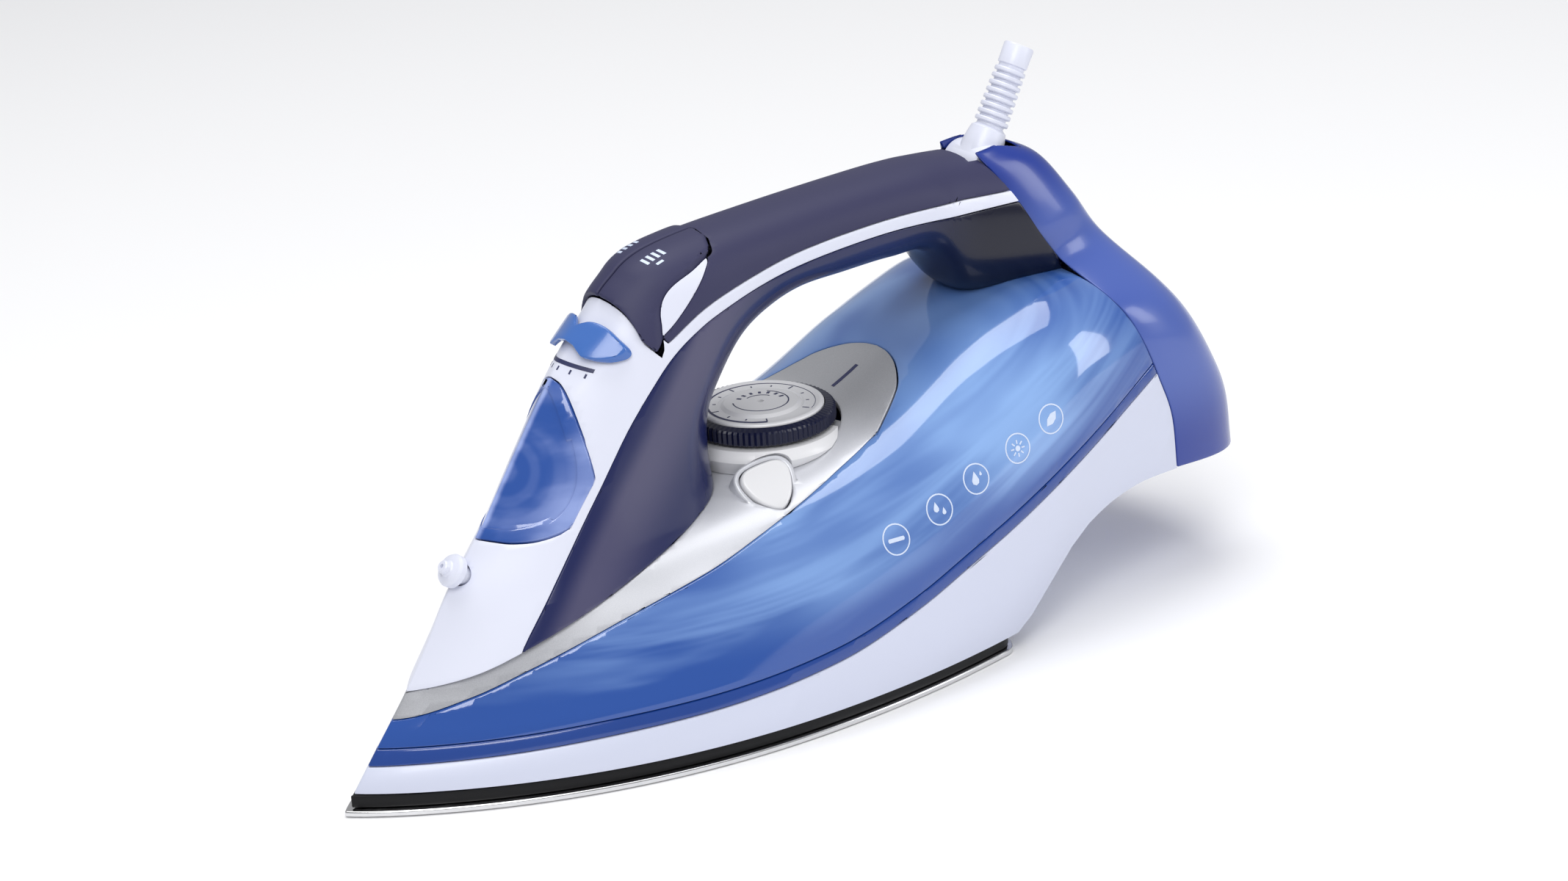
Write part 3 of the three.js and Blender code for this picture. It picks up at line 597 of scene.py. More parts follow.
def settle(piece, name, body, finish, replaces=()):
    """Puts a finished piece into the frame, in metres, with its finish and its body."""
    piece.name = piece.data.name = name
    piece.data.transform(Matrix.Scale(MM, 4) @ Matrix.Translation((SHIFT, 0, 0)))
    bm = bmesh.new()
    bm.from_mesh(piece.data)
    for face in bm.faces:
        face.smooth = True
    for edge in bm.edges:
        edge.smooth = not (edge.is_manifold and edge.calc_face_angle() > SMOOTH_LIMIT)
    bm.to_mesh(piece.data)
    bm.free()
    piece.data.materials.clear()
    piece.data.materials.append(finish)
    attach(piece, body)
    if replaces:
        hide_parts(*replaces)
    return piece


# ---------------------------------------------------------------------------------------------
# Finishes
# ---------------------------------------------------------------------------------------------
class Nodes:
    """A short way to wire a material's nodes."""

    def __init__(self, name):
        self.material = bpy.data.materials.get(name) or bpy.data.materials.new(name)
        self.material.use_nodes = True
        self.tree = self.material.node_tree
        self.tree.nodes.clear()
        self.output = self.tree.nodes.new("ShaderNodeOutputMaterial")
        self.shader = self.tree.nodes.new("ShaderNodeBsdfPrincipled")
        self.tree.links.new(self.shader.outputs[0], self.output.inputs[0])
        self.place = self.tree.nodes.new("ShaderNodeTexCoord").outputs["Object"]

    def link(self, source, target):
        self.tree.links.new(source, target)
        return target

    def set(self, **values):
        for name, value in values.items():
            self.shader.inputs[name.replace("_", " ")].default_value = value

    def mapping(self, location=(0, 0, 0), rotation=(0, 0, 0), scale=(1, 1, 1)):
        node = self.tree.nodes.new("ShaderNodeMapping")
        node.inputs["Location"].default_value = location
        node.inputs["Rotation"].default_value = rotation
        node.inputs["Scale"].default_value = scale
        self.link(self.place, node.inputs["Vector"])
        return node.outputs[0]

    def noise(self, vector, scale, detail=3.0, roughness=0.5, distortion=0.0):
        node = self.tree.nodes.new("ShaderNodeTexNoise")
        node.inputs["Scale"].default_value = scale
        node.inputs["Detail"].default_value = detail
        node.inputs["Roughness"].default_value = roughness
        node.inputs["Distortion"].default_value = distortion
        self.link(vector, node.inputs["Vector"])
        return node.outputs["Fac"]

    def part(self, index):
        """One coordinate of the point, in metres."""
        parts = self.tree.nodes.new("ShaderNodeSeparateXYZ")
        self.link(self.place, parts.inputs[0])
        return parts.outputs[index]

    def axis(self, index, low, high):
        """How far a point is from low to high along an axis, from 0 to 1."""
        return self.spread(self.part(index), low, high)

    def vector(self, *values):
        node = self.tree.nodes.new("ShaderNodeCombineXYZ")
        for socket, value in zip(node.inputs, values):
            self.link(value, socket)
        return node.outputs[0]

    def spread(self, value, low, high, to_low=0.0, to_high=1.0):
        node = self.tree.nodes.new("ShaderNodeMapRange")
        node.interpolation_type = "SMOOTHSTEP"
        for name, number in (("From Min", low), ("From Max", high), ("To Min", to_low), ("To Max", to_high)):
            node.inputs[name].default_value = number
        self.link(value, node.inputs["Value"])
        return node.outputs[0]

    def math(self, operation, a, b):
        node = self.tree.nodes.new("ShaderNodeMath")
        node.operation = operation
        for socket, value in zip(node.inputs, (a, b)):
            if isinstance(value, (int, float)):
                socket.default_value = value
            else:
                self.link(value, socket)
        return node.outputs[0]

    def mix(self, factor, a, b):
        node = self.tree.nodes.new("ShaderNodeMix")
        node.data_type = "RGBA"
        self.link(factor, node.inputs[0])
        for socket, value in ((node.inputs[6], a), (node.inputs[7], b)):
            if isinstance(value, bpy.types.NodeSocket):
                self.link(value, socket)
            else:
                socket.default_value = (*value[:3], 1)
        return node.outputs[2]

    def color(self, source):
        self.link(source, self.shader.inputs["Base Color"])

    def rough(self, source):
        self.link(source, self.shader.inputs["Roughness"])

    def bump(self, height, strength, distance=0.0002):
        node = self.tree.nodes.new("ShaderNodeBump")
        node.inputs["Strength"].default_value = strength
        node.inputs["Distance"].default_value = distance
        self.link(height, node.inputs["Height"])
        self.link(node.outputs[0], self.shader.inputs["Normal"])


def shade(color, by):
    return tuple(min(1.0, channel * by) for channel in color[:3])


def moulded(name, color, roughness, coat=0.0, grain=0.02, vary=0.04, specular=0.5,
            grain_scale=1800):
    """Moulded plastic: a faint drift of tone, slightly uneven gloss and the fine texture of its mould."""
    n = Nodes(name)
    n.color(n.mix(n.noise(n.mapping(), 9, 2), shade(color, 1 - vary), shade(color, 1 + vary)))
    n.rough(n.spread(n.noise(n.mapping(), 22, 2), 0.2, 0.8, roughness * 0.92, roughness * 1.1))
    n.set(Coat_Weight=coat, Coat_Roughness=0.08, Specular_IOR_Level=specular)
    n.bump(n.noise(n.mapping(), grain_scale, 2), grain)
    return n.material


def navy_gloss(name, color):
    """Glossy navy: a soft grey painted highlight on the leg's front, deep blue behind it, painted shade
    nearly black at the heel.
    """
    n = Nodes(name)
    # Painted highlight: a soft grey band slanting across the leg's front, varied a little by noise.
    across = n.math("ADD", n.math("SUBTRACT", n.part(0), n.math("MULTIPLY", n.part(2), 0.8)), 0.142)
    painted_highlight = n.math("MULTIPLY", n.spread(across, 0.0, 0.008), n.spread(across, 0.010, 0.034, 1.0, 0.0))
    painted_highlight = n.math("MULTIPLY", painted_highlight, n.spread(n.noise(n.mapping(), 18, 2), 0.2, 0.8, 0.8, 1.0))
    # Painted shade: the navy darkens to a fifth of itself towards the heel, under the handle.
    deep = n.mix(n.axis(0, 0.03, 0.075), color, shade(color, 0.2))
    n.color(n.mix(painted_highlight, deep, (0.075, 0.072, 0.140)))
    n.rough(n.spread(n.noise(n.mapping(), 22, 2), 0.2, 0.8, 0.2, 0.27))
    n.set(Coat_Weight=0.2, Coat_Roughness=0.08, Specular_IOR_Level=0.35)
    n.bump(n.noise(n.mapping(), 1800, 2), 0.01)
    return n.material


def silver(name, color):
    """Silver paint on plastic, with painted light: a painted highlight round the dial and painted shade
    greying the console's two ends.
    """
    n = Nodes(name)
    fleck = n.noise(n.mapping(), 4200, 2)
    # Painted light and shade: brighter round the dial, darker towards the console's two ends.
    middle = n.math("MULTIPLY", n.axis(0, -0.125, -0.045), n.spread(n.axis(0, -0.002, 0.03), 0, 1, 1.0, 0.0))
    body = n.mix(middle, shade(color, 0.62), shade(color, 1.1))
    n.color(n.mix(n.spread(fleck, 0.3, 0.7, 0.0, 0.12), body, (0.9, 0.9, 0.92)))
    n.rough(n.spread(fleck, 0.3, 0.7, 0.34, 0.44))
    n.set(Metallic=0.25, Coat_Weight=0.2, Coat_Roughness=0.15)
    n.bump(fleck, 0.03)
    return n.material


def height_over_rim(n):
    """Height over the tank's lower edge, which climbs towards the heel."""
    behind = n.math("MAXIMUM", n.math("ADD", n.part(0), 0.0855), 0.0)
    edge = n.math("MULTIPLY_ADD", n.math("MULTIPLY", behind, behind), 1.58)
    edge.node.inputs[2].default_value = 0.014
    return n.math("SUBTRACT", n.part(2), edge)


def clear_blue(name, deep, light):
    """Tinted clear plastic: deep at the nose and rim, with pale painted light where light runs through it in
    long streaks.
    """
    n = Nodes(name)
    lift = height_over_rim(n)
    flow = n.vector(n.math("MULTIPLY", n.part(0), 9.0), n.math("MULTIPLY", n.part(1), 7.0),
                    n.math("MULTIPLY", lift, 75.0))
    streaks = n.noise(flow, 1.0, 3, 0.55, 0.6)
    wide = n.noise(n.mapping(rotation=(0, 0.5, 0), scale=(14, 14, 30)), 1.0, 1.0)
    # Painted light: a pale band painted into the tint above the rim, fading towards the nose and the heel,
    # with pale streaks.
    front = n.math("MULTIPLY", n.axis(0, -0.125, 0.0), n.spread(n.part(0), 0.055, 0.13, 1.0, 0.4))
    band = n.math("MULTIPLY", n.spread(lift, 0.006, 0.022), n.spread(lift, 0.03, 0.06, 1.0, 0.45))
    painted_glow = n.math("MULTIPLY", n.math("MULTIPLY", front, band), n.spread(wide, 0.32, 0.62, 0.5, 1.0))
    painted_glow = n.math("ADD", painted_glow, n.spread(streaks, 0.42, 0.68, -0.12, 0.26))
    n.color(n.mix(n.spread(painted_glow, 0.0, 1.1), deep, light))
    n.set(Roughness=0.09, Coat_Weight=0.6, Coat_Roughness=0.03, IOR=1.5)
    n.bump(n.noise(n.mapping(), 35, 2), 0.02, 0.0005)
    return n.material


def lid_blue(name, deep, light):
    """The lid's tint, with painted light: a painted highlight down its middle crease, painted light towards
    its sides, and painted highlight rings round the inlet.
    """
    n = Nodes(name)
    centre = (Matrix.Translation((SHIFT, 0, 0)) @ LID_FRAME @ Vector((20, 0, 0))) * MM
    length = n.tree.nodes.new("ShaderNodeVectorMath")
    length.operation = "LENGTH"
    n.link(n.mapping(location=tuple(-v for v in centre)), length.inputs[0])
    rings = n.math("SINE", n.math("MULTIPLY", length.outputs["Value"], 900.0), 0.0)
    near = n.spread(length.outputs["Value"], 0.008, 0.021, 1.0, 0.0)
    side = n.math("ABSOLUTE", n.part(1), 0.0)
    # Painted highlight along the middle crease, and painted light towards the lid's sides.
    crease_highlight = n.spread(side, 0.0003, 0.0018, 0.6, 0.0)
    edge = n.spread(side, 0.008, 0.017, 0.0, 0.45)
    # Painted highlight rings round the inlet's centre.
    ring_highlight = n.math("MULTIPLY", near, n.spread(rings, -0.6, 1.0, 0.0, 0.16))
    painted_glow = n.math("ADD", n.math("ADD", crease_highlight, edge), ring_highlight)
    # Pale streaks added to the painted light.
    streaks = n.noise(n.mapping(rotation=(0, 0.9, 0), scale=(20, 60, 90)), 1.0, 3)
    painted_glow = n.math("ADD", painted_glow, n.spread(streaks, 0.4, 0.7, -0.05, 0.2))
    n.color(n.mix(n.spread(painted_glow, -0.1, 1.0), deep, light))
    n.set(Roughness=0.1, Coat_Weight=0.5, Coat_Roughness=0.04, IOR=1.5)
    return n.material


def cover_blue(name, deep, light):
    n = Nodes(name)
    # Painted light: the cover is paler over its middle height, in soft clouds, and deeper blue towards its
    # top and bottom.
    middle = n.math("MULTIPLY", n.axis(2, 0.045, 0.075), n.spread(n.part(2), 0.118, 0.145, 1.0, 0.0))
    cloud = n.noise(n.mapping(scale=(7, 12, 9)), 1.0, 2)
    n.color(n.mix(n.math("MULTIPLY", middle, n.spread(cloud, 0.25, 0.7, 0.5, 1.0)), deep, light))
    n.set(Roughness=0.26, Coat_Weight=0.3, Coat_Roughness=0.1)
    n.bump(n.noise(n.mapping(), 300, 2), 0.02)
    return n.material


def metal(name, color, roughness, stretch=(20, 600, 600)):
    """Ground metal with its grain along the iron."""
    n = Nodes(name)
    grain = n.noise(n.mapping(scale=stretch), 1.0, 3)
    n.color(n.mix(grain, shade(color, 0.9), shade(color, 1.06)))
    n.rough(n.spread(grain, 0.3, 0.7, roughness * 0.7, roughness * 1.4))
    n.set(Metallic=1.0)
    n.bump(grain, 0.04, 0.0001)
    return n.material


def printed(name, color):
    n = Nodes(name)
    speck = n.noise(n.mapping(), 900, 2)
    n.color(n.mix(speck, shade(color, 0.93), shade(color, 1.04)))
    n.rough(n.spread(speck, 0.3, 0.7, 0.4, 0.55))
    return n.material


# ---------------------------------------------------------------------------------------------
# Settings
# ---------------------------------------------------------------------------------------------
def tint(name, description, default):
    return bpy.props.FloatVectorProperty(name=name, description=description, subtype="COLOR", size=3,
                                         min=0, max=1, default=default)


class IronColors(bpy.types.PropertyGroup):
    pearl: tint("Pearl", "Skirt", (0.60, 0.63, 0.76))
    white: tint("White", "Cone, stripe, nozzle and cord guard", (0.70, 0.72, 0.83))
    silver: tint("Silver", "Console round the dial", (0.56, 0.57, 0.61))
    navy: tint("Navy", "Handle shell and the dial's rim", (0.011, 0.016, 0.080))
    grip: tint("Grip", "Soft grip cover and buttons", (0.033, 0.033, 0.086))
    tank_deep: tint("Tank, deep", "Tank where it is thick", (0.014, 0.072, 0.33))
    # This colour is the painted light where light passes through the tank.
    tank_painted_glow: tint("Tank, light", "Tank where light passes", (0.25, 0.42, 0.76))
    rim: tint("Rim", "Band under the tank", (0.010, 0.050, 0.26))
    cover_deep: tint("Cover, deep", "Back cover's ends", (0.011, 0.036, 0.27))
    # This colour is the cover's painted light over its middle.
    cover_painted_light: tint("Cover, light", "Back cover's middle", (0.065, 0.115, 0.41))
    steel: tint("Steel", "Soleplate", (0.72, 0.72, 0.73))
    black: tint("Black", "Heat shield", (0.004, 0.004, 0.005))
    brass: tint("Brass", "Thermostat and valve", (0.55, 0.40, 0.16))
    floor: tint("Floor", "Floor under the iron", (0.93, 0.93, 0.94))


class IronSizes(bpy.types.PropertyGroup):
    edge: bpy.props.FloatProperty(name="Edge", description="Rounding of the shells' edges, in millimetres",
                                  default=0.35, min=0.05, max=1)
    knurls: bpy.props.IntProperty(name="Knurls", description="Ridges round the dial's rim",
                                  default=80, min=12)
    ribs: bpy.props.IntProperty(name="Guard ribs", description="Ribs along the cord guard", default=8, min=2)
    ticks: bpy.props.IntProperty(name="Dial ticks", description="Ticks of the temperature scale",
                                 default=13, min=3)
    icons: bpy.props.IntProperty(name="Tank marks", description="Round marks printed on the tank",
                                 default=5, min=0)


def colors():
    return bpy.context.scene.iron_colors


def sizes():
    return bpy.context.scene.iron_sizes


@functools.cache
def finish(name):
    """One of the iron's finishes, made the first time that it is asked for."""
    c = colors()
    makers = {
        "pearl plastic": lambda n: moulded(n, c.pearl, 0.34, coat=0.2, grain=0.01, vary=0.02),
        "white plastic": lambda n: moulded(n, c.white, 0.38, coat=0.1, grain=0.02, vary=0.02),
        "silver plastic": lambda n: silver(n, c.silver),
        "navy gloss": lambda n: navy_gloss(n, c.navy),
        "grip navy": lambda n: moulded(n, c.grip, 0.52, grain=0.10, vary=0.06, specular=0.35,
                                       grain_scale=2600),
        "tank blue": lambda n: clear_blue(n, c.tank_deep, c.tank_painted_glow),
        # The lid's painted light runs up to this paler blue.
        "lid blue": lambda n: lid_blue(n, c.tank_deep, (0.36, 0.45, 0.80)),
        "dial white": lambda n: moulded(n, (0.74, 0.74, 0.76), 0.34, coat=0.2, vary=0.02),
        "dial navy": lambda n: moulded(n, shade(c.navy, 0.35), 0.3, vary=0.1, specular=0.3),
        "lever blue": lambda n: moulded(n, (0.045, 0.14, 0.45), 0.2, coat=0.4, vary=0.1),
        "rim blue": lambda n: moulded(n, c.rim, 0.14, coat=0.4, grain=0.01, vary=0.2),
        "cover blue": lambda n: cover_blue(n, c.cover_deep, c.cover_painted_light),
        "sole steel": lambda n: metal(n, c.steel, 0.16),
        "cast aluminium": lambda n: metal(n, shade(c.steel, 0.6), 0.5, (300, 300, 300)),
        "plain steel": lambda n: metal(n, shade(c.steel, 0.85), 0.3),
        "heater steel": lambda n: metal(n, shade(c.steel, 0.2), 0.5),
        "shield black": lambda n: moulded(n, c.black, 0.45, grain=0.1, vary=0.2, specular=0.25),
        "brass": lambda n: metal(n, c.brass, 0.35),
        "clear plastic": lambda n: moulded(n, (0.55, 0.62, 0.72), 0.1, coat=1.0, grain=0.01, vary=0.03),
        "white print": lambda n: printed(n, (0.62, 0.70, 0.86)),
        "navy print": lambda n: printed(n, (0.02, 0.025, 0.09)),
    }
    return makers[name](name)


# ---------------------------------------------------------------------------------------------
# Sole
# ---------------------------------------------------------------------------------------------
def sole_outline(inset, end, steps=56):
    start = NOSE + inset * 1.6
    side = []
    for i in range(1, steps + 1):
        x = start + (end - 8 - start) * (i / steps) ** 1.6
        side.append((x, max(sole_half(x - inset) - inset, 0.4)))
    half = side[-1][1]
    corner = [(end - 8 + 8 * math.sin(math.pi / 2 * i / 8), half - 9 * (1 - math.cos(math.pi / 2 * i / 8)))
              for i in range(1, 9)]
    side += corner
    return [(start, 0), *mirrored(side), *reversed(side)]


STEAM_ROWS = [(-128, 0), (-112, 12), (-96, 20), (-78, 27), (-58, 33), (-36, 37), (-12, 39), (14, 39),
              (38, 37)]


class IRON_OT_sole(bpy.types.Operator):
    """Soleplate with its steam holes, and the heat shield above it"""
    bl_idname = "iron.sole"
    bl_label = "Sole"

    def execute(self, context):
        sole = soften(prism(sole_outline(0, SOLE_END), 0, SOLE_TOP), 0.5, 3)
        for x, y in STEAM_ROWS:
            for side in ((1,) if y == 0 else (-1, 1)):
                cup = [(0, -1), (2.6, -1), (2.6, 0), (1.8, 0.8), (1.8, 5), (0, 5)]
                less(sole, turned(cup, at(x, side * y, 0), 24))
        settle(sole, "polished_sole", "housing", finish("sole steel"), ["soleplate"])
        shield = less(prism(sole_outline(1.6, SOLE_END - 1), SHIELD_LOW, SHIELD_HIGH),
                      prism(sole_outline(8.4, SOLE_END - 7), -1, 20))
        settle(soften(shield, 0.4), "shield_ring", "housing", finish("shield black"),
               ["heat_shield"])
        return {"FINISHED"}


# ---------------------------------------------------------------------------------------------
# Hull: skirt, rim, tank and console
# ---------------------------------------------------------------------------------------------
CONSOLE_SIDE = [(-170, 70), (-3, 40), (13, 34.5), (20, 31.5), (26, 28.2), (34, 23.6), (39, 19.8), (44, 12.7),
                (46.6, 6)]
CLEAN_OUTLINE = [(-1.6, -8), (1.6, -8), (5.8, -3.6), (8, 3), (6, 6.6), (0, 7.4), (-6, 6.6), (-8, 3),
                 (-5.8, -3.6)]
CLEAN_FRAME = rolled(-16.5, -26, 70.4, 0.82, -0.2)
LAMP_FRAME = rolled(-16.5, 26, 70.4, -0.62, -0.2)


def clean_outline(by=0.0):
    """The drop-shaped outline of the self-cleaning button, with its corners eased."""
    points = CLEAN_OUTLINE + CLEAN_OUTLINE[:3]
    eased = flowing(points, 6)[6:6 + 6 * len(CLEAN_OUTLINE)]
    return grown(eased, by) if by else eased


def console_zone(by):
    side = [(-170, 70)] + flowing(CONSOLE_SIDE[1:] + [(47.4, 0)], 5)[:-1]
    half = [(x + by, y + by) for x, y in side]
    outline = [*mirrored(half), (47.4 + by, 0), *reversed(half)]
    return both(prism(outline, 0, 140), above(band_edge, -by))


def deck_zone(offset):
    rear = [(-25.2, FAR_BELOW), (FAR_BACK, FAR_BELOW), (FAR_BACK, 200), (-25.2, 200)]
    return plus(below(deck_edge, offset, FAR_FRONT, -24.9), side_prism(rear))


def clean_room():
    return prism(clean_outline(2.4), -8, 9, CLEAN_FRAME)


def stem_ways():
    """Holes down through the hull for the dial's spindle tube and the valve rod."""
    return rod(6.6, 0, 120, DIAL_PLACE), rod(4.4, 0, 90, at(VALVE_X, 0, 0))


class IRON_OT_skirt(bpy.types.Operator):
    """Pearl skirt round the sole and the blue rim under the tank"""
    bl_idname = "iron.skirt"
    bl_label = "Skirt and rim"

    def execute(self, context):
        skirt = both(hull_shell(), below(tank_edge, 0), front_of_seam())
        settle(soften(skirt, sizes().edge), "skirt", "housing", finish("pearl plastic"),
               ["lower_shell"])
        rim = both(hull(), above(tank_edge, GAP), below(tank_edge, RIM_HEIGHT), front_of_seam())
        less(rim, *stem_ways())
        settle(soften(rim, 0.5), "tank_rim", "housing", finish("rim blue"), ["tank_floor"])
        return {"FINISHED"}


class IRON_OT_tank(bpy.types.Operator):
    """Tinted water tank with its printed round marks"""
    bl_idname = "iron.tank"
    bl_label = "Water tank"

    def execute(self, context):
        tank = both(hull_shell(), above(tank_edge, RIM_HEIGHT + GAP), front_of_seam())
        less(tank, console_zone(GAP), clean_room())
        marks = [laid_on(tank, tank_mark(i), Matrix.Translation((x, 0, z)) @ SIDE_VIEW, cell=3)
                 for i, (x, z) in enumerate(MARK_CENTRES[:sizes().icons])]
        settle(joined(marks), "tank_marks", "housing", finish("white print"))
        settle(soften(tank, sizes().edge), "tank", "housing", finish("tank blue"),
               ["water_tank"])
        return {"FINISHED"}


class IRON_OT_console(bpy.types.Operator):
    """Silver console with the dial's well, the drop-shaped button and the pilot lamp"""
    bl_idname = "iron.console"
    bl_label = "Console"

    def execute(self, context):
        console = less(both(hull(), deck_zone(0)), both(hull(WALL, True), deck_zone(-WALL)))
        both(console, console_zone(0))
        plus(console, soften(prism(clean_outline(2), -6, 0.8, CLEAN_FRAME), 0.5))
        less(console, rod(24.4, 78.2, 130, DIAL_PLACE, 96), *stem_ways(),
             prism(clean_outline(0.4), -12, 12, CLEAN_FRAME), rod(3.4, -8, 8, LAMP_FRAME))
        settle(soften(console, sizes().edge), "console_deck", "housing",
               finish("silver plastic"), ["console"])
        button = soften(prism(clean_outline(), -7, 2.4, CLEAN_FRAME), 1.0, 4)
        settle(button, "drop_button", "clean_key", finish("dial white"),
               ["self_clean_button"])
        lens = turned([(0, -4), (3, -4), (3, 0.8), (2.7, 1.5), (1.6, 1.9), (0, 2)], LAMP_FRAME, 32)
        settle(lens, "lamp_lens", "housing", finish("clear plastic"), ["pilot_lamp_lens"])
        return {"FINISHED"}


# ---------------------------------------------------------------------------------------------
# Handle
# ---------------------------------------------------------------------------------------------
BUTTON_FRAME = tilted(-38, 138, BUTTON_TILT)
BUTTON_SIDE = [(-17.5, 17.6), (-12, 15.9), (-9.2, 15), (-4.7, 14.4), (5.2, 14.2), (12, 12.8), (15.6, 11.6),
               (18.6, 7.5)]
BUTTON_ARCH = [(-19.3, 15.6), (-16.8, 13), (-15, 9.5), (-14.2, 5), (-14, 0)]
LID_FRAME = tilted(-104, 74, RIDGE_TILT)
LID_SIDE = [(-1.5, 0), (0, 4.2), (2, 8.5), (6, 13), (12, 16.4), (19, 18), (27, 17.8), (34, 15.6), (41, 11.6),
            (46.5, 7.4), (49.6, 3.6), (50.4, 0)]
NOZZLE_FRAME = tilted(-111.6, 63.4, RIDGE_TILT)
LEVER_FRAME = tilted(-61.5, 123.5, RIDGE_TILT)


def button_zone(by):
    """The buttons' outline; their recess is larger and deeper, which leaves them room to travel."""
    side = [(-19.7 - by, 17.8 + by), (-17.5 - by, 17.6 + by), *moved(flowing(BUTTON_SIDE, 5)[1:], 0, by)]
    arch = [(a - by, b) for a, b in reversed(flowing(BUTTON_ARCH, 5))]
    outline = [arch[0], *mirrored(arch[1:]), *mirrored(side), (19.6 + by, 0), *reversed(side),
               *reversed(arch[1:])]
    return prism(outline, -11 if by else -8, 51, BUTTON_FRAME)


def lid_zone(by, low, high):
    line = flowing(LID_SIDE, 5)
    side = [(a + (-by if a < 12 else by if a > 38 else 0), b + by) for a, b in line[1:-1]]
    outline = [(line[0][0] - by, 0), *mirrored(side), (line[-1][0] + by, 0), *reversed(side)]
    return prism(outline, low, high, LID_FRAME)


def stripe_low(offset=0.0):
    return moved(flowing(CONE_EDGE + STRIPE_LOW, 5), 0, -offset)


def white_zone():
    high = list(reversed(flowing(STRIPE_HIGH, 5)))
    front = flowing(GRIP_FRONT, 5)
    return side_prism([*stripe_low(), *moved(high, 0, -GAP), *moved(front, -0.2, 0), (-30.2, 200),
                       (-30.4, 220), (-190, 120), (-190, 20)])


def navy_zone():
    return side_prism([*stripe_low(GAP), (140, 60), (-24, 40), (-90, 30)])


def grip_zone():
    high = flowing(STRIPE_HIGH, 5)
    front = list(reversed(flowing(GRIP_FRONT, 5)))
    return side_prism([(-29.8, 200), *moved(front, 0.2, 0), *high, (140, 200)])


def swivel_room():
    return block(80.5, 101, -8.3, 8.3, 131, 170)


class IRON_OT_handle(bpy.types.Operator):
    """Navy handle shell, white cone and stripe, and the soft grip cover"""
    bl_idname = "iron.handle"
    bl_label = "Handle"

    def execute(self, context):
        edge = sizes().edge
        shell = both(handle_shell(), over_deck())
        cone = both(twin(shell), white_zone())
        less(cone, button_zone(0.4), lid_zone(0.4, -17, 30), rod(3.7, -20, 20, NOZZLE_FRAME),
             rod(3, -16, 20, LEVER_FRAME))
        sweep = [(-9.6 + 0.014 * b * b, b) for b in range(-10, 11)]
        band = sweep + [(a + 1.3, b) for a, b in reversed(sweep)]
        ticks = [bar(a - 2.2, b, 1.4, 0.5) for a, b in sweep[1::4]]
        scale = laid_on(cone, [band, *ticks], LEVER_FRAME)
        settle(scale, "lever_scale", "housing", finish("navy print"))
        settle(soften(cone, 0.22), "cone_and_stripe", "housing", finish("white plastic"),
               ["front_frame", "accent_left", "accent_right"])
        navy = both(twin(shell), navy_zone())
        settle(soften(navy, edge), "navy_shell", "housing", finish("navy gloss"),
               ["handle_shell"])
        grip = less(both(shell, grip_zone()), button_zone(0.4), swivel_room())
        settle(soften(grip, edge), "soft_grip", "housing", finish("grip navy"), ["grip_cover"])
        return {"FINISHED"}


def button_marks(side):
    """Four rays and a dash, on the button at one side."""
    marks = [*(bar(a, 5, 0.9, 3) for a in (1, 2.8, 4.6, 6.4)), bar(2.5, 9.2, 2.2, 0.7)]
    return [[(a, side * b) for a, b in mark] for mark in marks]


class IRON_OT_buttons(bpy.types.Operator):
    """Spray and burst buttons on top of the handle"""
    bl_idname = "iron.buttons"
    bl_label = "Buttons"

    def execute(self, context):
        cap = both(handle_shell(), button_zone(0))
        into = BUTTON_FRAME.inverted()
        out = BUTTON_FRAME.to_3x3() @ Vector((0, 0, 1))
        for vert in cap.data.vertices:
            along = (into @ vert.co).x
            vert.co += out * (1.3 * ease((along + 8) / 20) + 1.9 * ease((-5 - along) / 10))
        for name, side in (("spray", -1), ("burst", 1)):
            half = block(-90, 20, -40, -GAP, 90, 180) if side < 0 else block(-90, 20, GAP, 40, 90, 180)
            stem = both(rod(2.4, -17.5, 12, BUTTON_FRAME @ at(0, side * 7.4, 0)), handle(1))
            button = plus(soften(both(twin(cap), half), 0.7, 3), stem)
            marks = laid_on(button, button_marks(side), BUTTON_FRAME)
            settle(marks, f"{name}_marks", f"{name}_key", finish("white print"))
            settle(button, f"{name}_cap", f"{name}_key", finish("grip navy"),
                   [f"{name}_button"])
        discard(cap)
        return {"FINISHED"}


class IRON_OT_inlet(bpy.types.Operator):
    """Tinted lid over the water inlet, with the well under it"""
    bl_idname = "iron.inlet"
    bl_label = "Inlet"

    def execute(self, context):
        lid = both(handle_shell(), lid_zone(0, -17, 30))
        less(lid, both(less(handle(-1.5), handle(0.25)), lid_zone(-2.6, -17, 30)))
        settle(soften(lid, 0.22), "lid", "lid", finish("lid blue"), ["inlet_lid"])
        well = less(both(handle(WALL + GAP), lid_zone(-1.5, -15.6, 20)), lid_zone(-3.3, -14, 20),
                    rod(4.5, -30, 0, LID_FRAME @ at(16, 0, 0)))
        settle(well, "filling_well", "housing", finish("rim blue"), ["inlet_well"])
        return {"FINISHED"}


WING = [(-5.5, -8), (-4.6, -11), (-3, -13.6), (0, -15.6), (2.6, -15.4), (4.2, -12.5), (5.6, -8.5),
        (5.2, -4), (2.6, 0)]


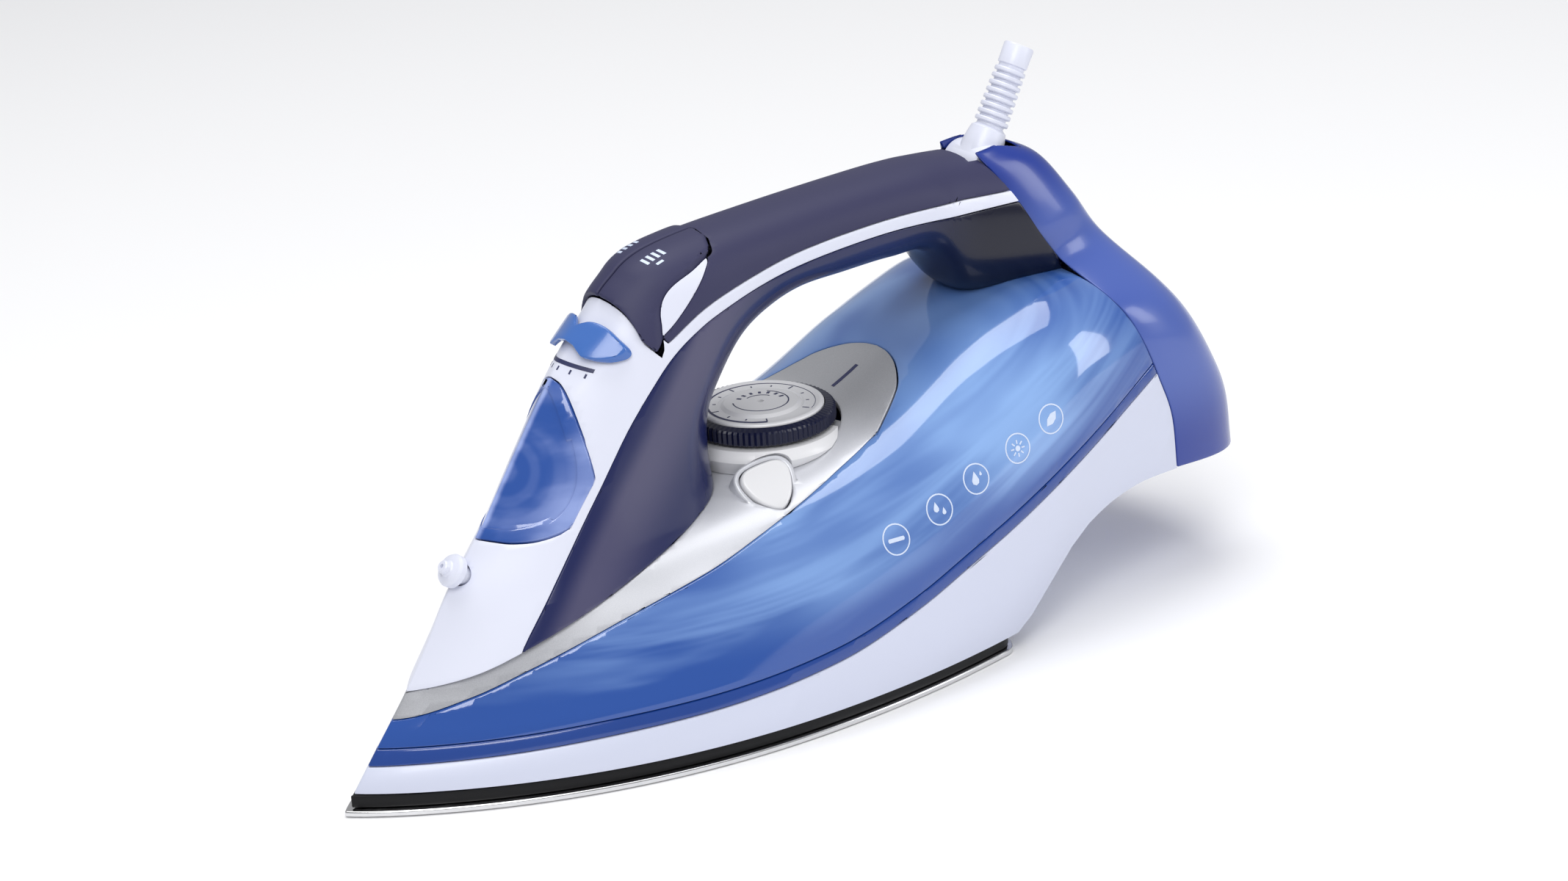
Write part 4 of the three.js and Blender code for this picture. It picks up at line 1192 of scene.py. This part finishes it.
class IRON_OT_lever(bpy.types.Operator):
    """Winged steam lever and the spray nozzle below it"""
    bl_idname = "iron.lever"
    bl_label = "Lever and nozzle"

    def execute(self, context):
        half = flowing(WING, 5)
        back = [(-3.4, 4), (-2.8, 0), (-3.4, -4)]
        wing = [*half, *reversed([(a, -b) for a, b in half[:-1]]), *back]
        lever = both(less(handle(-2.7), handle(-1)), prism(wing, -20, 40, LEVER_FRAME))
        plus(soften(lever, 0.45, 3), rod(2.4, -10, 3.5, LEVER_FRAME))
        settle(lever, "winged_lever", "lever", finish("lever blue"), ["steam_lever"])
        profile = [(0, -7), (3, -7), (3, 1), (5, 1.4), (5.1, 3.2), (4.6, 4.1), (3.6, 4.6), (2.6, 4.8),
                   (2.2, 5.2), (2.0, 6.6), (1.6, 7), (0.7, 7), (0.6, 6), (0, 6)]
        settle(turned(profile, NOZZLE_FRAME), "nozzle", "housing", finish("white plastic"),
               ["spray_nozzle"])
        return {"FINISHED"}


# ---------------------------------------------------------------------------------------------
# Dial
# ---------------------------------------------------------------------------------------------
class IRON_OT_dial(bpy.types.Operator):
    """Temperature dial with its knurled rim, its scale and the collar under it"""
    bl_idname = "iron.dial"
    bl_label = "Dial"

    def execute(self, context):
        flare = [(8, 66), (20.5, 66), (25.8, 74.6), (26.3, 76), (25.8, 77.4), (24, 79), (8, 79)]
        collar = turned(flare, DIAL_PLACE, 128)
        less(collar, hull(-GAP), handle(-0.4), clean_room())
        settle(collar, "collar", "housing", finish("dial white"), ["dial_collar"])
        knurls = sizes().knurls
        rim = turned([(19.8, 80.4), (22.4, 80), (23.0, 80.5), (23.0, 84.0), (22.5, 84.6), (19.8, 85.2)],
                     segments=knurls * 6)
        for vert in rim.data.vertices:
            reach = math.hypot(vert.co.x, vert.co.y)
            if reach > 22:
                turn = math.atan2(vert.co.y, vert.co.x) * knurls
                vert.co.xy *= 1 - 0.022 * (0.5 - 0.5 * math.cos(turn))
        rim.data.transform(DIAL_PLACE)
        settle(rim, "knurled_ring", "dial", finish("dial navy"), ["dial_ring"])
        top = DIAL_TOP
        disc = turned([(2.9, 79.6), (5, 79.6), (5, 81.4), (19.5, 81.4), (19.5, 85.5), (19.2, 85.9),
                       (18.6, 86.1), (17.9, 86.0), (17.4, 85.7), (13.4, 85.7), (13.0, 85.4),
                       (12.5, 85.4), (12.1, 85.8),
                       (11.5, 86.3), (10.5, top), (1, top), (1, 84.2), (2.9, 84)], DIAL_PLACE, 128)
        settle(disc, "dial_disc", "dial", finish("dial white"), ["temperature_dial"])
        return {"FINISHED"}


# ---------------------------------------------------------------------------------------------
# Heel: back cover and cord guard
# ---------------------------------------------------------------------------------------------
def cover_solid(inset, start, end, forward):
    rings = []
    for i in range(COVER_STEPS + 1):
        sx, sy, sz, rx, rz = cover_row(start + (end - start) * i / COVER_STEPS)
        far = []
        for j in range(COVER_ARC + 1):
            angle = math.pi / 2 * j / COVER_ARC
            reach = math.sin(angle) ** (2 / COVER_SQUARE)
            out = 0.0 if j == COVER_ARC else (-sy - inset) * math.cos(angle) ** (2 / COVER_SQUARE)
            far.append((sx - forward + (rx - inset - sx + forward) * reach, out, sz + (rz - sz) * reach))
        rings.append(far + [(x, -y, z) for x, y, z in reversed(far[:-1])])
    return lofted("cover", rings)


SWIVEL_X, SWIVEL_Z = 90, 141
GUARD_PLACE = at(SWIVEL_X, 0, SWIVEL_Z, 0.52)
GUARD_LENGTH = 40.0


class IRON_OT_heel(bpy.types.Operator):
    """Blue back cover and the ribbed cord guard that swivels in it"""
    bl_idname = "iron.heel"
    bl_label = "Heel"

    def execute(self, context):
        cover = less(cover_solid(0, 0, COVER_END, 0), cover_solid(WALL, 0.35, COVER_END - 0.15, 6),
                     swivel_room())
        less(cover, *[rod(3.7, 20, 60, at(148, side * 16, 0)) for side in (-1, 1)])
        settle(soften(cover, 0.6, 3), "heel_cover", "housing", finish("cover blue"),
               ["back_cover"])
        profile = [(3, 2), (7, 2), (6.9, 6), (6.3, 9.5), (5.7, 12)]
        start, end = 13.0, GUARD_LENGTH - 8
        count = sizes().ribs
        for i in range(count):
            low = start + (end - start) * i / count
            pitch = (end - start) / count
            radius = 5.5 - 0.5 * i / count
            profile += [(radius - 1.1, low), (radius - 1.1, low + pitch * 0.35),
                        (radius - 0.25, low + pitch * 0.42), (radius, low + pitch * 0.55),
                        (radius, low + pitch * 0.85), (radius - 0.25, low + pitch)]
        profile += [(4.2, end + 0.1), (4.2, end + 1), (4.8, end + 1.4), (4.9, GUARD_LENGTH - 0.5),
                    (4.6, GUARD_LENGTH), (3, GUARD_LENGTH)]
        guard = turned(profile, GUARD_PLACE, 48)
        barrel = less(soften(cross_rod(7.6, 7.8, SWIVEL_X, SWIVEL_Z), 0.5), rod(3, -12, 60, GUARD_PLACE))
        plus(guard, barrel)
        settle(guard, "ribbed_guard", "guard", finish("white plastic"), ["cord_guard"])
        return {"FINISHED"}


# ---------------------------------------------------------------------------------------------
# Printed marks
# ---------------------------------------------------------------------------------------------
MARK_HEIGHT = 0.12
SCALE_HEIGHT = 85.78
STRIP_DEPTH = 0.1
RING_PIECES = 28
MARK_CENTRES = [(11, 52.7), (28, 57.5), (43, 63.1), (60, 68.2), (74, 73.9)]


def strip(name, lines):
    """A thin printed strip between two lines of points."""
    rows = len(lines[0]) - 1
    bm = bmesh.new()
    bmesh.ops.create_grid(bm, x_segments=rows, y_segments=1, size=0.5)
    for vert in bm.verts:
        vert.co = lines[round(vert.co.y + 0.5)][round((vert.co.x + 0.5) * rows)]
    bmesh.ops.remove_doubles(bm, verts=bm.verts, dist=1e-4)
    bmesh.ops.solidify(bm, geom=bm.faces, thickness=STRIP_DEPTH)
    return as_object(name, bm)


def ring(radius, width):
    """The short pieces that make up a printed ring."""
    inner, outer = circle(radius - width, RING_PIECES), circle(radius, RING_PIECES)
    return [[inner[i - 1], outer[i - 1], outer[i], inner[i]] for i in range(RING_PIECES)]


def dial_arc(first, last, steps, radius, widths, height):
    """An arc printed on the dial, its width running from the first of widths to the second."""
    outer, inner = [], []
    for i in range(steps + 1):
        angle = math.radians(first + (last - first) * i / steps)
        width = widths[0] + (widths[1] - widths[0]) * i / steps
        for line, reach in ((outer, radius), (inner, radius - width)):
            line.append((reach * math.cos(angle), reach * math.sin(angle), height))
    arc = strip("arc", [outer, inner])
    arc.data.transform(DIAL_PLACE)
    return arc


DROP_OUTLINE = [(0, 1.7), (0.55, 0.6), (0.85, -0.1), (0.7, -0.75), (0, -1.1), (-0.7, -0.75), (-0.85, -0.1),
                (-0.55, 0.6)]


def drop(x, z, size):
    return [(x + size * a, z + size * b) for a, b in DROP_OUTLINE]


def spokes(inner, outer, count):
    """Straight rays round a centre."""
    spoke = bar(inner, -0.22, outer - inner, 0.44)
    shapes = []
    for i in range(count):
        c, s = math.cos(2 * math.pi * i / count), math.sin(2 * math.pi * i / count)
        shapes.append([(c * a - s * b, s * a + c * b) for a, b in spoke])
    return shapes


def tank_mark(kind):
    """One of five plain signs: dash, drops, drop, spray and leaf."""
    dash = [(-2.6, -0.6), (2.6, -0.6), (2.9, 0), (2.6, 0.6), (-2.6, 0.6), (-2.9, 0)]
    leaf = [(-2.0, -1.9), (0.3, -1.6), (1.7, -0.2), (2.1, 2.1), (0, 1.7), (-1.5, 0.2)]
    signs = [[dash], [drop(-1.1, 0.6, 1.1), drop(1.4, -0.9, 0.8)],
             [drop(-0.4, -0.2, 1.5), drop(1.8, 1.2, 0.5)], [circle(0.9, 12), *spokes(1.4, 2.6, 8)], [leaf]]
    return ring(4.7, 0.42) + signs[kind % len(signs)]


class IRON_OT_marks(bpy.types.Operator):
    """Plain round marks on the tank, the dial's scale and the console's index line"""
    bl_idname = "iron.marks"
    bl_label = "Marks"

    def execute(self, context):
        scale = []
        for i in range(sizes().ticks):
            turn = Matrix.Rotation(math.radians(-60 + 300 * i / (sizes().ticks - 1)), 4, "Z")
            tick = bar(13.9, -0.22, 1.0 if i % 3 else 2.2, 0.44)
            scale.append(prism(tick, SCALE_HEIGHT - 0.1, SCALE_HEIGHT, DIAL_PLACE @ turn))
        scale.append(dial_arc(-60, 240, 75, 16.9, (0.1, 1.0), SCALE_HEIGHT))
        for radius, first, last in ((8.8, 150, 400), (5.2, 20, 110)):
            scale.append(dial_arc(first, last, 40, radius, (0.4, 0.4), DIAL_TOP + 0.06))
        for i in range(7):
            turn = Matrix.Rotation(math.radians(-10 + 22 * i), 4, "Z")
            scale.append(prism(bar(6.4, -0.45, 1.5, 0.9), DIAL_TOP - 0.02, DIAL_TOP + 0.06,
                               DIAL_PLACE @ turn))
        settle(joined(scale), "dial_scale", "dial", finish("navy print"))
        line = [[(x, y, console_height(x, y) + MARK_HEIGHT) for x in range(29, 40)] for y in (-0.7, 0.7)]
        settle(strip("line", line), "index_line", "housing", finish("navy print"))
        return {"FINISHED"}


def console_height(x, y):
    """Height of the hull's top at x, y."""
    low, high = hull_floor(x), hull_top(x)
    for _ in range(30):
        z = (low + high) / 2
        low, high = (z, high) if hull_side(x, z) > abs(y) else (low, z)
    return high


# ---------------------------------------------------------------------------------------------
# Pieces that keep their working shape
# ---------------------------------------------------------------------------------------------
INNER_FINISHES = {
    "cast aluminium": ["sole_casting", "steam_chamber_cover"],
    "heater steel": ["heating_element"],
    "plain steel": ["dial_spindle", "spray_spring", "burst_spring", "heel_screw_left", "heel_screw_right"],
    "rim blue": ["spindle_tube"],
    "brass": ["thermostat", "valve_rod", "dosing_valve", "thermal_fuse"],
    "white plastic": ["spray_pump", "burst_pump", "terminal_block", "cord_clamp"],
    "clear plastic": ["spray_tube", "burst_tube"],
}


class IRON_OT_inner(bpy.types.Operator):
    """Finishes for the working parts inside the iron"""
    bl_idname = "iron.inner"
    bl_label = "Inner parts"

    def execute(self, context):
        for name, nodes in INNER_FINISHES.items():
            for node in nodes:
                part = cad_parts[node]
                part.data.materials.clear()
                part.data.materials.append(finish(name))
        return {"FINISHED"}


# ---------------------------------------------------------------------------------------------
# Stage
# ---------------------------------------------------------------------------------------------
CAMERA_AIM = (0.0036, 0, 0.071)
CAMERA_DISTANCE = 1.2133
CAMERA_AZIMUTH = math.radians(234)                   # from +X, counter-clockwise
CAMERA_ELEVATION = math.radians(21.5)
CAMERA_ROLL = math.radians(-3.6)


def light(name, place, aim, size, power):
    lamp = bpy.data.lights.new(name, "AREA")
    lamp.shape = "RECTANGLE"
    lamp.size, lamp.size_y = size
    lamp.energy = power
    piece = bpy.data.objects.new(name, lamp)
    piece.location = place
    piece.rotation_euler = (Vector(aim) - Vector(place)).to_track_quat("-Z", "Y").to_euler()
    bpy.context.scene.collection.objects.link(piece)


class IRON_OT_stage(bpy.types.Operator):
    """Pale floor, soft studio light and the camera"""
    bl_idname = "iron.stage"
    bl_label = "Stage"

    def execute(self, context):
        scene = context.scene
        bm = bmesh.new()
        bmesh.ops.create_grid(bm, x_segments=1, y_segments=1, size=4)
        bmesh.ops.translate(bm, vec=(0, 0, -0.0003), verts=bm.verts)
        floor = as_object("floor", bm)
        n = Nodes("floor")
        n.color(n.mix(n.noise(n.mapping(), 3, 2), shade(colors().floor, 0.99), colors().floor[:]))
        n.set(Roughness=0.7)
        floor.data.materials.append(n.material)
        world = bpy.data.worlds.new("studio")
        world.use_nodes = True
        world.node_tree.nodes["Background"].inputs[0].default_value = (0.97, 0.98, 1.0, 1)
        world.node_tree.nodes["Background"].inputs[1].default_value = 0.42
        scene.world = world
        light("key", (-0.8, -0.9, 1.3), (0, 0, 0.06), (0.8, 0.8), 13)
        light("top", (0.1, 0.25, 1.7), (0, 0, 0.05), (1.3, 1.0), 16)
        light("side", (0.9, -1.0, 0.6), (0.03, 0, 0.07), (0.35, 0.8), 4)
        lens = bpy.data.cameras.new("camera")
        lens.lens, lens.sensor_width = 90, 36
        camera = bpy.data.objects.new("camera", lens)
        turn = (Matrix.Rotation(CAMERA_AZIMUTH + math.pi / 2, 4, "Z")
                @ Matrix.Rotation(math.pi / 2 - CAMERA_ELEVATION, 4, "X")
                @ Matrix.Rotation(CAMERA_ROLL, 4, "Z"))
        camera.matrix_world = (Matrix.Translation(CAMERA_AIM) @ turn
                               @ Matrix.Translation((0, 0, CAMERA_DISTANCE)))
        scene.collection.objects.link(camera)
        scene.camera = camera
        scene.view_settings.view_transform = "Standard"
        return {"FINISHED"}


class IRON_PT_panel(bpy.types.Panel):
    bl_label = "Steam Iron"
    bl_idname = "IRON_PT_panel"
    bl_space_type = "VIEW_3D"
    bl_region_type = "UI"
    bl_category = "Steam Iron"

    def draw(self, context):
        for group in (context.scene.iron_sizes, context.scene.iron_colors):
            for name in group.__annotations__:
                self.layout.prop(group, name)
        for operator in OPERATORS:
            self.layout.operator(operator.bl_idname)


OPERATORS = (IRON_OT_stage, IRON_OT_sole, IRON_OT_skirt, IRON_OT_tank, IRON_OT_console, IRON_OT_handle,
             IRON_OT_buttons, IRON_OT_inlet, IRON_OT_lever, IRON_OT_dial, IRON_OT_heel, IRON_OT_marks,
             IRON_OT_inner)
CLASSES = (IronColors, IronSizes, *OPERATORS, IRON_PT_panel)


def register():
    for item in CLASSES:
        bpy.utils.register_class(item)
    bpy.types.Scene.iron_colors = bpy.props.PointerProperty(type=IronColors)
    bpy.types.Scene.iron_sizes = bpy.props.PointerProperty(type=IronSizes)


def unregister():
    del bpy.types.Scene.iron_sizes
    del bpy.types.Scene.iron_colors
    for item in reversed(CLASSES):
        bpy.utils.unregister_class(item)


def main():
    register()
    for operator in OPERATORS:
        getattr(bpy.ops.iron, operator.bl_idname.split(".")[1])()
    drop_masters()


if __name__ == "__main__":
    main()
